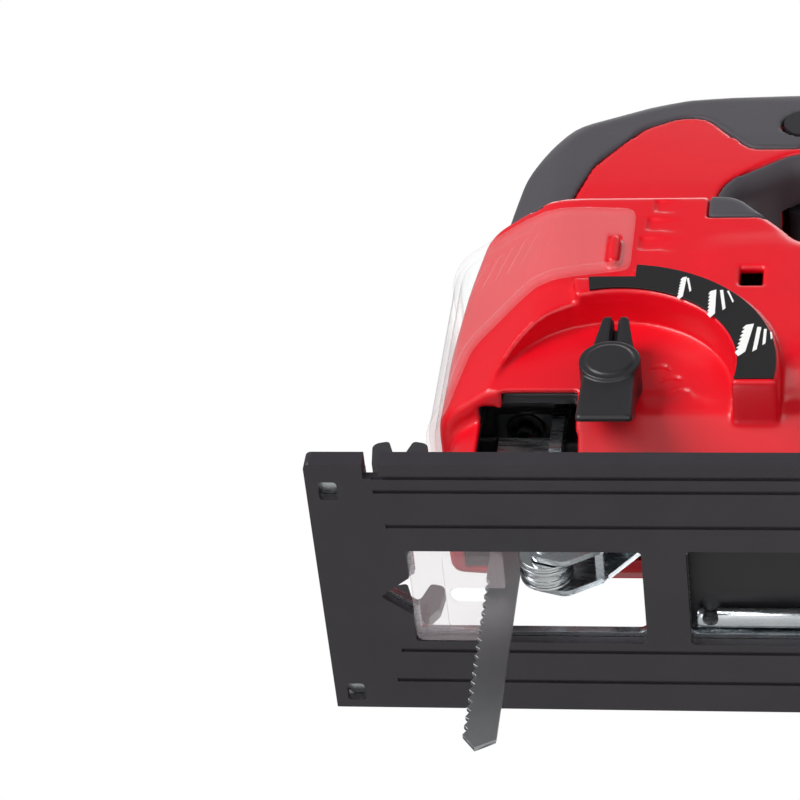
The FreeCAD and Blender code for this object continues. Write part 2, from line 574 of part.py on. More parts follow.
def make_motor(bearing_x, rear_x):
    pinion_phase = math.pi / 2 + math.pi / PINION_TEETH
    pinion_front = GEAR_FRONT - 1
    pinion = gear_shape(PINION_TEETH, GEAR_WIDTH + 2, pinion_front, MOTOR_Z, 0, pinion_phase)
    neck_front = pinion_front + GEAR_WIDTH + 1
    neck = rod(3.2, vec(neck_front, 0, MOTOR_Z), AXIS_X, bearing_x - neck_front + 1)
    long_shaft = rod(SHAFT_R, vec(bearing_x, 0, MOTOR_Z), AXIS_X, rear_x + BEARING_WIDTH - bearing_x)
    export("armature_shaft", fuse(pinion, neck, long_shaft))
    core = tube(CORE_R, SHAFT_R, vec(STATOR_FRONT, 0, MOTOR_Z), AXIS_X, STATOR_LENGTH)
    for i in range(12):
        a = i * math.pi / 6
        slot = box(STATOR_FRONT, STATOR_FRONT + STATOR_LENGTH, -1, 1, CORE_R - 3, CORE_R + 1)
        slot.rotate(vec(0, 0, 0), AXIS_X, math.degrees(a))
        slot.translate(vec(0, 0, MOTOR_Z))
        core = core.cut(slot)
    export("armature_core", core)
    windings = []
    for x in (STATOR_FRONT - 7, STATOR_FRONT + STATOR_LENGTH):
        windings.append(tube(15.5, SHAFT_R, vec(x, 0, MOTOR_Z), AXIS_X, 7))
    export_group("armature_windings", windings)
    com_x = STATOR_FRONT + STATOR_LENGTH + 9
    commutator = tube(COMMUTATOR_R, SHAFT_R, vec(com_x, 0, MOTOR_Z), AXIS_X, COMMUTATOR_LENGTH)
    export("commutator", commutator)
    stator = tube(STATOR_R, CORE_R + AIR_GAP, vec(STATOR_FRONT, 0, MOTOR_Z), AXIS_X, STATOR_LENGTH)
    flat = STATOR_R - 4
    for side in (-1, 1):
        z0 = MOTOR_Z + side * (flat + 6)
        stator = stator.cut(box(STATOR_FRONT - 1, STATOR_FRONT + STATOR_LENGTH + 1, -40, 40, z0 - 6, z0 + 6))
    export("field_stator", stator)
    coils = []
    for x in (STATOR_FRONT - 6, STATOR_FRONT + STATOR_LENGTH):
        coils.append(tube(26, CORE_R + 1.2, vec(x, 0, MOTOR_Z), AXIS_X, 6))
    export_group("field_coils", coils)
    fan_x = bearing_x + BEARING_WIDTH + 20
    hub = tube(9, SHAFT_R, vec(fan_x, 0, MOTOR_Z), AXIS_X, 11)
    disc = tube(FAN_R, 8, vec(fan_x, 0, MOTOR_Z), AXIS_X, 2)
    blades = []
    for i in range(12):
        blade = box(fan_x + 1.5, fan_x + 10, -0.8, 0.8, 12, FAN_R)
        blade.rotate(vec(0, 0, 0), AXIS_X, i * 30)
        blade.translate(vec(0, 0, MOTOR_Z))
        blades.append(blade)
    export("cooling_fan", fuse(hub, disc, *blades))
    holders = []
    brushes = []
    brush_r = COMMUTATOR_R + 0.1
    for side in (-1, 1):
        y0, y1 = sorted((side * 12.5, side * 29))
        x0 = com_x + 3
        sleeve = box(x0 - 1.2, x0 + BRUSH + 1.2, y0, y1, MOTOR_Z - 4.2, MOTOR_Z + 4.2)
        channel = box(x0, x0 + BRUSH, y0 - 1, y1 + 1, MOTOR_Z - 3, MOTOR_Z + 3)
        holders.append(sleeve.cut(channel))
        b0, b1 = sorted((side * brush_r, side * 24))
        brush = box(x0 + SLIP, x0 + BRUSH - SLIP, b0, b1, MOTOR_Z - 2.8, MOTOR_Z + 2.8)
        brushes.append(brush.cut(rod(brush_r, vec(x0 - 1, 0, MOTOR_Z), AXIS_X, 10)))
    export_group("brush_holders", holders)
    export_group("carbon_brushes", brushes)


def make_plunger():
    """Plunger, its yoke and the swinging frame that guides it."""
    rod_shape = rod(PLUNGER_R, vec(0, 0, PLUNGER_BOTTOM), AXIS_Z, PLUNGER_TOP - PLUNGER_BOTTOM)
    export("plunger", rod_shape)
    slot_half = CRANK_ROLLER_R + SLIP
    slot_reach = STROKE / 2 + slot_half
    yoke_reach = slot_reach + 1.8
    yoke = box(-6, 6.6, -yoke_reach, yoke_reach, GEAR_Z - YOKE_HALF, GEAR_Z + YOKE_HALF)
    yoke = yoke.cut(box(3.2, 7, -slot_reach, slot_reach, GEAR_Z - slot_half, GEAR_Z + slot_half))
    yoke = yoke.cut(rod(PLUNGER_R, vec(0, 0, GEAR_Z - YOKE_HALF - 1), AXIS_Z, 2 * YOKE_HALF + 2))
    export("plunger_yoke", yoke)
    bush_r = PLUNGER_R + 2
    bushes = []
    for z in (65.0, 112.0):
        bushes.append(tube(bush_r, PLUNGER_R + RUN, vec(0, 0, z), AXIS_Z, 5))
    export_group("plunger_bushes", bushes)
    wide = bush_r + 1
    deep = bush_r + 1.5
    frame_parts = []
    top = SWING_Z + 3.5
    for z, z_end in ((64.0, 71.0), (111.0, top)):
        block = box(-deep, deep, -wide, wide, z, z_end)
        block = block.cut(rod(bush_r, vec(0, 0, z + 1), AXIS_Z, 5))
        frame_parts.append(block.cut(rod(PLUNGER_R + 0.6, vec(0, 0, z - 1), AXIS_Z, z_end - z + 2)))
    back = box(-deep - 0.6, -bush_r - SLIP, -wide, wide, 64, top)
    back = back.cut(box(-deep - 4, -bush_r + 0.5, -5, 5, GEAR_Z - 12, GEAR_Z + 12))
    frame = fuse(back, *frame_parts)
    pins = []
    for side in (-1, 1):
        pivot = vec(0, side * 6.8, SWING_Z)
        frame = frame.cut(rod(SWING_PIN_R + RUN, pivot, vec(0, side, 0), 10))
        pins.append(rod(SWING_PIN_R, pivot, vec(0, side, 0), 4.9))
    export("swing_frame", frame)
    export_group("swing_pins", pins)


def make_clamp():
    """Tool-free blade clamp on the plunger's foot, with its release lever."""
    body = rod(CLAMP_R - 2.3, vec(0, 0, CLAMP_BOTTOM), AXIS_Z, CLAMP_TOP - CLAMP_BOTTOM)
    body = body.cut(rod(PLUNGER_R, vec(0, 0, PLUNGER_BOTTOM), AXIS_Z, 20))
    slot_x = BLADE_WIDTH / 2
    slot_y = BLADE_THICK / 2
    body = body.cut(box(-slot_x, slot_x, -slot_y, slot_y, 30, PLUNGER_BOTTOM))
    export("clamp_body", body)
    collar_low = CLAMP_BOTTOM + LEVER_RISE
    collar = tube(CLAMP_R, CLAMP_R - 2.3 + RUN, vec(0, 0, collar_low), AXIS_Z, 9)
    export("clamp_collar", collar)
    arm = box(-3.5, 11.5, -15.5, -12.5, collar_low, collar_low + 6.5)
    upright = box(9.5, 12.5, -17.5, -12.5, collar_low, CLAMP_LEVER_TIP)
    link = box(-3.5, 3.5, -15.5, -CLAMP_R + 0.8, collar_low + 1, collar_low + 5)
    link = link.cut(rod(CLAMP_R, vec(0, 0, collar_low), AXIS_Z, 9))
    export("clamp_lever", fuse(arm, upright, link))
    tip = box(9.2, 12.8, -17.8, -12.2, CLAMP_LEVER_TIP, CLAMP_LEVER_TOP)
    export("lever_tip", tip)
    coil_r = 0.7
    mean_r = CLAMP_R - 2.3 + 1.5
    rings = []
    for i in range(3):
        rings.append(Part.makeTorus(mean_r, coil_r, vec(0, 0, collar_low + 10 + i * 1.6)))
    export_group("clamp_spring", rings)


def make_blade():
    """T-shank blade: sharpened front edge of triangular teeth, pointed foot."""
    front = -BLADE_WIDTH / 2 - 0.3
    back = front + BLADE_WIDTH
    low = BLADE_TIP + 3.4
    shank_top = BLADE_TOP - 3
    points = [(back, low - 0.6), (back, 31), (3.0, 35), (3.0, shank_top), (-3.0, shank_top), (-3.0, 35)]
    points += [(front, 31), (front, 6)]
    count = int((6 - low) / TOOTH_PITCH)
    for i in range(count):
        z = 6 - i * TOOTH_PITCH
        points.append((front + TOOTH_DEPTH, z - TOOTH_PITCH * 0.35))
        points.append((front, z - TOOTH_PITCH))
    points.append((-1.1, BLADE_TIP))
    half = BLADE_THICK / 2
    corners = [vec(x, -half, z) for x, z in points]
    blade = Part.Face(Part.makePolygon(corners + corners[:1])).extrude(vec(0, BLADE_THICK, 0))
    export("saw_blade", blade)


def make_roller():
    bore = 1.6
    start = vec(ROLLER_X, -ROLLER_HALF, ROLLER_Z)
    roller = rod(ROLLER_R, start, AXIS_Y, 2 * ROLLER_HALF)
    for y, width in ((-2.8, 0.9), (-0.9, 1.8), (1.9, 0.9)):
        groove = tube(ROLLER_R + 1, ROLLER_GROOVE_R, vec(ROLLER_X, y, ROLLER_Z), AXIS_Y, width)
        roller = roller.cut(groove)
    roller = roller.cut(rod(bore + RUN, start, AXIS_Y, 2 * ROLLER_HALF))
    export("guide_roller", roller)
    inner = ROLLER_HALF + 0.35
    outer = inner + BRACKET_SHEET
    bend = [(ROLLER_X - 3.4, ROLLER_Z - 3.6, 3), (ROLLER_X + 5, ROLLER_Z - 6.2, 4), (24, 12, 5),
            (BRACKET_PIVOT_X + 5, BRACKET_PIVOT_Z - 6, 3), (BRACKET_PIVOT_X + 5, BRACKET_PIVOT_Z + 5, 4),
            (BRACKET_PIVOT_X - 5, BRACKET_PIVOT_Z + 5, 4), (17.5, 21, 5), (ROLLER_X - 3.4, ROLLER_Z + 3.6, 3)]
    ears = [slab_xz(bend, -outer, -inner), slab_xz(bend, inner, outer)]
    web = box(21.5, 23.5, -inner - 0.5, inner + 0.5, 13.5, 24)
    bracket = fuse(ears[0], ears[1], web)
    bracket = bracket.cut(rod(bore, vec(ROLLER_X, -20, ROLLER_Z), AXIS_Y, 40))
    bracket = bracket.cut(rod(BRACKET_PIN_R + RUN, vec(BRACKET_PIVOT_X, -20, BRACKET_PIVOT_Z), AXIS_Y, 40))
    export("roller_bracket", bracket)
    pin = rod(bore, vec(ROLLER_X, -outer, ROLLER_Z), AXIS_Y, 2 * outer)
    head_l = rod(bore + 0.9, vec(ROLLER_X, -outer - 0.7, ROLLER_Z), AXIS_Y, 0.7)
    head_r = rod(bore + 0.9, vec(ROLLER_X, outer, ROLLER_Z), AXIS_Y, 0.7)
    export("roller_pin", fuse(pin, head_l, head_r))
    export("bracket_pin", rod(BRACKET_PIN_R, vec(BRACKET_PIVOT_X, -BRACKET_PIN_HALF, BRACKET_PIVOT_Z), AXIS_Y,
                              2 * BRACKET_PIN_HALF))


def window_notch(grow):
    """V-notch in the front edge of the blade window, used as a sight mark."""
    base = WINDOW_FRONT + 1
    tip = WINDOW_FRONT - 7 - grow
    return slab_xy([(base, -6 - grow, 0), (tip, 0, 0.5), (base, 6 + grow, 0)], -1, 12)


def rectangle(x0, x1, y0, y1, r, z0, z1):
    """Upright slab with four corners of one radius."""
    return slab_xy([(x0, y0, r), (x1, y0, r), (x1, y1, r), (x0, y1, r)], z0, z1)


def make_sole():
    corner = 6
    plate = slab_xy([(SOLE_FRONT, -SOLE_LEFT, corner), (SOLE_REAR, -SOLE_LEFT, 3), (SOLE_REAR, SOLE_RIGHT, 3),
                     (SOLE_FRONT, SOLE_RIGHT, corner)], SOLE_BOTTOM, SOLE_TOP)
    plate = plate.cut(rectangle(WINDOW_FRONT, WINDOW_REAR, -WINDOW_HALF, WINDOW_HALF, 2, 0, 10))
    plate = plate.cut(window_notch(0))
    plate = plate.cut(rectangle(REAR_WINDOW_FRONT, REAR_WINDOW_REAR, -REAR_WINDOW_HALF, REAR_WINDOW_HALF, 2,
                                0, 10))
    flanges = []
    for y0, y1 in ((-SOLE_LEFT, -SOLE_LEFT + SOLE_SHEET), (SOLE_RIGHT - SOLE_SHEET, SOLE_RIGHT)):
        flanges.append(box(SOLE_FRONT + 8, SOLE_REAR - 4, y0, y1, SOLE_BOTTOM, SOLE_FLANGE_TOP))
    plate = fuse(plate, *flanges)
    foot_room = SADDLE_R + SADDLE_FOOT + GAP
    plate = plate.cut(box(SADDLE_FRONT - GAP, SADDLE_REAR + GAP, -foot_room, foot_room,
                          SOLE_TOP, SOLE_FLANGE_TOP + 1))
    plate = plate.cut(box(-30, -19.5, -SOLE_LEFT - 1, -SOLE_LEFT + SOLE_SHEET + 0.5, 0, 10))
    bridges = []
    for side in (-1, 1):
        y = side * POCKET_Y
        half = POCKET_WIDTH / 2
        plate = plate.cut(box(POCKET_FRONT, POCKET_REAR, y - half, y + half, 0, 10))
        bridge = box(POCKET_FRONT - BRIDGE_WALL, POCKET_REAR + BRIDGE_WALL, y - half + 1, y + half - 1,
                     SOLE_TOP - 0.4, SOLE_TOP + FENCE_SLOT + 1.6)
        bridge = bridge.cut(box(POCKET_FRONT, POCKET_REAR, y - half, y + half, 0, SOLE_TOP + FENCE_SLOT))
        bridges.append(bridge.cut(rod(FENCE_SCREW_R, vec(FENCE_X, y, 0), AXIS_Z, 20)))
    plate = fuse(plate, *bridges)
    rib = box(-5, 39, -26, -23.8, SOLE_TOP - 0.5, SOLE_TOP + 0.9)
    far_rib = box(-5, 39, 23.8, 26, SOLE_TOP - 0.5, SOLE_TOP + 0.9)
    export("sole_plate", fuse(plate, rib, far_rib))


def make_saddle():
    """Arched steel saddle on the sole; the body clamps on it at any tilt."""
    length = SADDLE_REAR - SADDLE_FRONT
    arch = tube(SADDLE_R, SADDLE_R - SADDLE_SHEET, vec(SADDLE_FRONT, 0, TILT_Z), AXIS_X, length)
    arch = arch.cut(box(0, 200, -50, 50, -50, SOLE_TOP))
    foot_top = SOLE_TOP + SADDLE_SHEET
    foot_out = SADDLE_R + SADDLE_FOOT
    feet = [box(SADDLE_FRONT, SADDLE_REAR, -foot_out, -SADDLE_R + 1.5, SOLE_TOP, foot_top),
            box(SADDLE_FRONT, SADDLE_REAR, SADDLE_R - 1.5, foot_out, SOLE_TOP, foot_top)]
    cut = rod(SADDLE_R - SADDLE_SHEET, vec(SADDLE_FRONT, 0, TILT_Z), AXIS_X, length)
    arch = fuse(arch, *[f.cut(cut) for f in feet])
    for x in TILT_SCREWS:
        slot = rod(TILT_SCREW_R + 0.8, vec(x, 0, TILT_Z), AXIS_Z, 40)
        for i in range(-6, 7):
            turned = slot.copy()
            turned.rotate(vec(0, 0, TILT_Z), AXIS_X, i * (TILT_MAX + 2) / 6)
            arch = arch.cut(turned)
    rivet_y = SADDLE_R + SADDLE_RIVET_OUT
    holes = [(x, y) for x in SADDLE_RIVETS for y in (-rivet_y, rivet_y)]
    rivets = []
    for x, y in holes:
        arch = arch.cut(rod(1.8, vec(x, y, 0), AXIS_Z, 12))
        rivet = rod(1.8, vec(x, y, SOLE_TOP), AXIS_Z, SADDLE_SHEET)
        rivets.append(fuse(rivet, rod(3.0, vec(x, y, foot_top), AXIS_Z, 1.0)))
    export("tilt_saddle", arch)
    export_group("saddle_rivets", rivets)
    rail_y = REAR_WINDOW_HALF - 3.0
    rail = rod(2.4, vec(REAR_WINDOW_FRONT + 1.5, rail_y, SOLE_BOTTOM + 2.6), AXIS_X, 49)
    rail = rail.cut(rod(1.9, vec(REAR_WINDOW_FRONT + 4.6, rail_y - 1.4, 0), AXIS_Z, 12))
    export("edge_rail", rail)


def make_tilt_clamp():
    r_out = SADDLE_R - SADDLE_SHEET - 0.3
    block = tube(r_out, r_out - CLAMP_BLOCK, vec(72, 0, TILT_Z), AXIS_X, 34)
    block = block.common(box(70, 110, -6.5, 6.5, 10, 40))
    screws = []
    for x in TILT_SCREWS:
        block = block.cut(rod(TILT_SCREW_R, vec(x, 0, 5), AXIS_Z, 40))
        seat = TILT_Z + math.sqrt((r_out - CLAMP_BLOCK) ** 2 - TILT_HEAD_R ** 2)
        shank = rod(TILT_SCREW_R, vec(x, 0, seat), AXIS_Z, TILT_Z + SADDLE_R + 8 - seat)
        screws.append(fuse(shank, rod(TILT_HEAD_R, vec(x, 0, seat - TILT_HEAD), AXIS_Z, TILT_HEAD)))
    export("tilt_clamp_block", block)
    export_group("tilt_screws", screws)


def make_dust_channel():
    """Extraction channel on the sole that ends in a round hose port at the rear."""
    low = SOLE_TOP + 3.3
    r_in = SADDLE_R - SADDLE_SHEET - CLAMP_BLOCK - TILT_HEAD - 1.1
    front = REAR_WINDOW_FRONT - 4
    half_pipe = rod(r_in, vec(front, 0, TILT_Z), AXIS_X, SADDLE_REAR - front)
    half_pipe = half_pipe.common(box(front, SADDLE_REAR, -30, 30, low, 40))
    hollow = rod(r_in - DUST_WALL, vec(front - 1, 0, TILT_Z), AXIS_X, SADDLE_REAR - front + 2)
    hollow = hollow.common(box(front - 2, SADDLE_REAR + 2, -30, 30, low + DUST_WALL, 40))
    trough = half_pipe.cut(hollow)
    port_len = 32
    port_z = SOLE_TOP + 1.0 + DUST_PORT_R + DUST_WALL
    port_r = DUST_PORT_R + DUST_WALL
    collar = tube(port_r, DUST_PORT_R, vec(SADDLE_REAR + 3, 0, port_z), AXIS_X, port_len)
    end = rod(port_r, vec(SADDLE_REAR, 0, port_z), AXIS_X, 3).cut(hollow)
    export("dust_channel", fuse(trough, end, collar))


def make_shoe():
    left = SHOE_LEFT
    right = SOLE_RIGHT + SLIP + SHOE_WALL
    front = SOLE_FRONT - SLIP - SHOE_WALL + 0.4
    rear = SOLE_REAR + SLIP + SHOE_WALL
    plan = [(front, -left, 1.5), (rear, -left, 3), (rear, right, 3), (front, right, 1.5)]
    block = slab_xy(plan, 0, SHOE_HEIGHT)
    seat = slab_xy([(SOLE_FRONT - SLIP, -SOLE_LEFT - SLIP, 5.5), (SOLE_REAR + SLIP, -SOLE_LEFT - SLIP, 2.8),
                    (SOLE_REAR + SLIP, SOLE_RIGHT + SLIP, 2.8), (SOLE_FRONT - SLIP, SOLE_RIGHT + SLIP, 5.5)],
                   SHOE_FLOOR, 10)
    shoe = block.cut(seat)
    e = SHOE_WINDOW_EXTRA
    for x0, x1, half in ((WINDOW_FRONT - 1, WINDOW_REAR, WINDOW_HALF + e),
                         (REAR_WINDOW_FRONT, REAR_WINDOW_REAR, REAR_WINDOW_HALF + e)):
        shoe = shoe.cut(rectangle(x0, x1, -half, half, 1, -1, 10))
    shoe = shoe.cut(window_notch(1.5))
    shoe = shoe.cut(box(-30, -26, -left - 1, -SOLE_LEFT - SLIP, -1, 10))
    groove = 0.6
    for y, x0 in ((-37.4, -28), (-33.2, -28), (-22.4, -26), (17.6, -26), (27.5, -28)):
        shoe = shoe.cut(box(x0, SOLE_REAR - 10, y - 0.6, y + 0.6, -1, groove))
    for y in (-36.0, 29.0):
        shoe = shoe.cut(rectangle(-41, -36.5, y, y + 5.5, 1, -1, SHOE_FLOOR + 1))
    bottom_edge = 1.6
    chamfer = [(right - bottom_edge, -0.01, 0), (right + 1, -0.01, 0), (right + 1, bottom_edge + 1, 0)]
    shoe = shoe.cut(slab_yz(chamfer, front - 5, rear + 5))
    export("glide_shoe", shoe)


def make_insert():
    """Clear splinter guard in the shoe's blade window, slotted for the blade."""
    e = SHOE_WINDOW_EXTRA
    half = WINDOW_HALF + e - SLIP
    x0 = WINDOW_FRONT - 1 + SLIP
    x1 = 1.0
    plate = slab_xy([(x0, -half, 2), (x1, -half, 3), (x1, half, 3), (x0, half, 2)], 0.3, SHOE_FLOOR - 0.1)
    slot = slab_xy([(-12.6, -2.7, 2.6), (x1 + 3, -2.7, 0), (x1 + 3, 2.7, 0), (-12.6, 2.7, 2.6)], -1, 10)
    step = slab_xy([(x0 + 8, -half + 2.5, 2), (x1 - 2, -half + 2.5, 2), (x1 - 2, half - 2.5, 2),
                    (x0 + 8, half - 2.5, 2)], SHOE_FLOOR - 0.9, 10)
    export("splinter_guard", plate.cut(slot).cut(step))


def make_wing_screws():
    for name, side in (("left_wing_screw", -1), ("right_wing_screw", 1)):
        y = side * POCKET_Y
        x = FENCE_X
        low = SOLE_TOP + FENCE_SLOT
        post = rod(FENCE_SCREW_R - RUN, vec(x, y, low + 0.1), AXIS_Z, 8)
        hub = rod(4.2, vec(x, y, low + 2.0), AXIS_Z, 8)
        wing = slab_xz([(x - 7, low + 18.3, 3), (x - 6.2, low + 10.3, 3), (x - 2.5, low + 4.3, 1),
                        (x + 2.5, low + 4.3, 1), (x + 6.2, low + 10.3, 3), (x + 7, low + 18.3, 3),
                        (x + 3, low + 19.3, 1), (x, low + 10.3, 2), (x - 3, low + 19.3, 1)], y - 1.5, y + 1.5)
        export(name, fuse(post, hub, wing))


def make_controls():
    length = TRIGGER_LENGTH
    x0 = TRIGGER_FRONT
    top = OPENING_TOP + 11
    low = OPENING_TOP - 8
    body = slab_xz([(x0, top, 1), (x0 + 1, low + 3, 5), (x0 + 14, low + 5, 20), (x0 + length, low, 5),
                    (x0 + length, top, 1)], -TRIGGER_HALF, TRIGGER_HALF)
    hollow = box(x0 + 2.5, x0 + length - 2.5, -4.5, 4.5, low + 8, top + 1)
    export("trigger", body.cut(hollow))
    coil = 0.6
    rings = []
    for i in range(4):
        rings.append(Part.makeTorus(2.6, coil, vec(x0 + 17, 0, low + 9 + i * 2.4)))
    export_group("trigger_spring", rings)
    switch = box(x0 + 2, x0 + length - 2, -8, 8, top + TRIGGER_TRAVEL + 0.6, top + TRIGGER_TRAVEL + 12)
    export("switch_module", switch)
    lock = rod(LOCK_R, vec(LOCK_X, -HANDLE_HALF - 2.6, LOCK_Z), AXIS_Y, 8)
    export("lock_button", lock)
    dial_z = HANDLE_TOP - DIAL_R + 1.2
    dial = rod(DIAL_R, vec(DIAL_X, -DIAL_HALF, dial_z), AXIS_Y, 2 * DIAL_HALF)
    dial = fuse(dial, rod(2.0, vec(DIAL_X, -8, dial_z), AXIS_Y, 16))
    for i in range(24):
        notch = rod(0.7, vec(DIAL_X, -DIAL_HALF - 1, dial_z + DIAL_R + 0.2), AXIS_Y, 2 * DIAL_HALF + 2)
        notch.rotate(vec(DIAL_X, 0, dial_z), AXIS_Y, i * 15)
        dial = dial.cut(notch)
    export("speed_dial", dial)
    inlet_x = MOTOR_REAR - 14
    inlet = rod(CORD_INLET_R, vec(inlet_x, 0, CABLE_Z), AXIS_X, 14)
    inlet = fuse(inlet, rod(CORD_INLET_R + 2, vec(inlet_x + 2, 0, CABLE_Z), AXIS_X, 2.5))
    inlet = inlet.cut(rod(CORD_HOLE_R, vec(inlet_x - 1, 0, CABLE_Z), AXIS_X, 30))
    export("cord_inlet", inlet)
    strap = box(inlet_x - 10, inlet_x - 4, -9, 9, CABLE_Z - CORD_HOLE_R - 3, CABLE_Z - CORD_HOLE_R)
    export("cord_clamp", strap)
    export("suppressor_capacitor", rod(5.5, vec(OPENING_REAR + 12, 0, 108), AXIS_Z, 20))


def make_screws():
    screws = []
    for x, z in BOSSES:
        shank = rod(SCREW_R - 0.05, vec(x, -11, z), AXIS_Y, 21)
        screws.append(shank)
    export_group("housing_screws", screws)


def main():
    os.makedirs("parts", exist_ok=True)
    make_housing()
    make_soft_grips()
    make_guard()
    make_band()
    make_selector()
    bearing_x, rear_x = make_drive()
    make_motor(bearing_x, rear_x)
    make_plunger()
    make_clamp()
    make_blade()
    make_roller()
    make_sole()
    make_saddle()
    make_tilt_clamp()
    make_dust_channel()
    make_shoe()
    make_insert()
    make_wing_screws()
    make_controls()
    make_screws()


main()
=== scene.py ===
"""Visual model of a corded D-handle jigsaw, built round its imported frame.

Forms are drawn in millimetres from the blade line (x = 0), the middle plane (y = 0) and the underside of the
glide shoe (z = 0): the tool's front is -X, its left side is -Y. Datum turns them into the frame's metres.
"""

import json
import logging
import math
from dataclasses import dataclass
from enum import Enum
from typing import Iterable, Sequence

import bpy
import numpy as np
from mathutils import Matrix, Vector

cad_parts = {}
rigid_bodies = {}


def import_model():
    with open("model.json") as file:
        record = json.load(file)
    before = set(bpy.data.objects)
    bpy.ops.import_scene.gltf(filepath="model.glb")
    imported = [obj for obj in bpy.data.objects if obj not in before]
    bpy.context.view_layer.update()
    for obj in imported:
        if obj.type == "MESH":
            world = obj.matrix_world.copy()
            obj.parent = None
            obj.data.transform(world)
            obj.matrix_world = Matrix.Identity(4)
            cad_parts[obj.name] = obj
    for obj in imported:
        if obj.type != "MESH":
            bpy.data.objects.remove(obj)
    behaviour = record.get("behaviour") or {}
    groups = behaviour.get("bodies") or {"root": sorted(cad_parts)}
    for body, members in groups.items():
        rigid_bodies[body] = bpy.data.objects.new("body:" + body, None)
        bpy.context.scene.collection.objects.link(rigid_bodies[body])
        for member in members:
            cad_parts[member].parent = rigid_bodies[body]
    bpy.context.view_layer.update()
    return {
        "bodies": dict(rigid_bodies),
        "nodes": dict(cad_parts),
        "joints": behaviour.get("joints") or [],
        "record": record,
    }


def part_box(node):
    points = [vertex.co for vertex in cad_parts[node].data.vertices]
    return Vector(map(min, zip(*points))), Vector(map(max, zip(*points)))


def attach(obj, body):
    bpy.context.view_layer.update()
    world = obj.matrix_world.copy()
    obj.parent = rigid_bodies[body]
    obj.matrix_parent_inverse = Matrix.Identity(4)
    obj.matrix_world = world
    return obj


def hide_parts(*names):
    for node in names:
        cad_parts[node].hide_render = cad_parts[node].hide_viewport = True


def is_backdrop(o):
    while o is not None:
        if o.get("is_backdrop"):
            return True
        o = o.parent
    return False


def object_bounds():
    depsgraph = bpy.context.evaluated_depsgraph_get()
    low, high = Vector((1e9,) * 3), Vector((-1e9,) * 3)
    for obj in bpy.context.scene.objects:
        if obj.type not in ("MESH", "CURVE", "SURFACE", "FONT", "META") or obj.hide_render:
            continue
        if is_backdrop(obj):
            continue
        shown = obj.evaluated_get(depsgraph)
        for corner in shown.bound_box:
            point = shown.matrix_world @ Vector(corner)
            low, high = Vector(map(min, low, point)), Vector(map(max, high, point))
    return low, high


LOG = logging.getLogger("jigsaw")
MM = 0.001
ARC_STEP = math.radians(12)
FAR = 500.0

Corner = tuple[float, float, float]


# ---------------------------------------------------------------- colour and nodes


def linear(hex_code: str) -> tuple[float, float, float, float]:
    """Turn an sRGB hex colour into linear RGBA.

    Args:
        hex_code: six hex digits after a hash, such as "#E3001B".

    Returns:
        Linear red, green and blue with an alpha of 1.
    """
    values = [int(hex_code[i : i + 2], 16) / 255 for i in (1, 3, 5)]
    red, green, blue = (v / 12.92 if v <= 0.04045 else ((v + 0.055) / 1.055) ** 2.4 for v in values)
    return red, green, blue, 1.0


def add_node(
    tree: bpy.types.NodeTree,
    kind: str,
    settings: dict | None = None,
    links: dict | None = None,
) -> bpy.types.Node:
    """Add a node, set its inputs and properties, and link sockets into it.

    Args:
        tree: the node tree to add to.
        kind: Blender's name of the node type.
        settings: input names (capitalised) or numbers, or property names (lower case), and their values.
        links: input names or numbers, and the output socket that feeds each.

    Returns:
        The new node.
    """
    node = tree.nodes.new(kind)
    for key, value in (settings or {}).items():
        if isinstance(key, int) or key[0].isupper():
            node.inputs[key].default_value = value
        else:
            setattr(node, key, value)
    for key, socket in (links or {}).items():
        tree.links.new(socket, node.inputs[key])
    return node


class Slot(Enum):
    """Material slots of the record."""

    RED_ABS = "red_abs"
    SOFT_GRIP = "soft_grip"
    CLEAR = "clear_plastic"
    LABEL = "black_label"
    BLACK_PLASTIC = "black_plastic"
    STEEL = "zinc_steel"
    DARK_STEEL = "dark_steel"


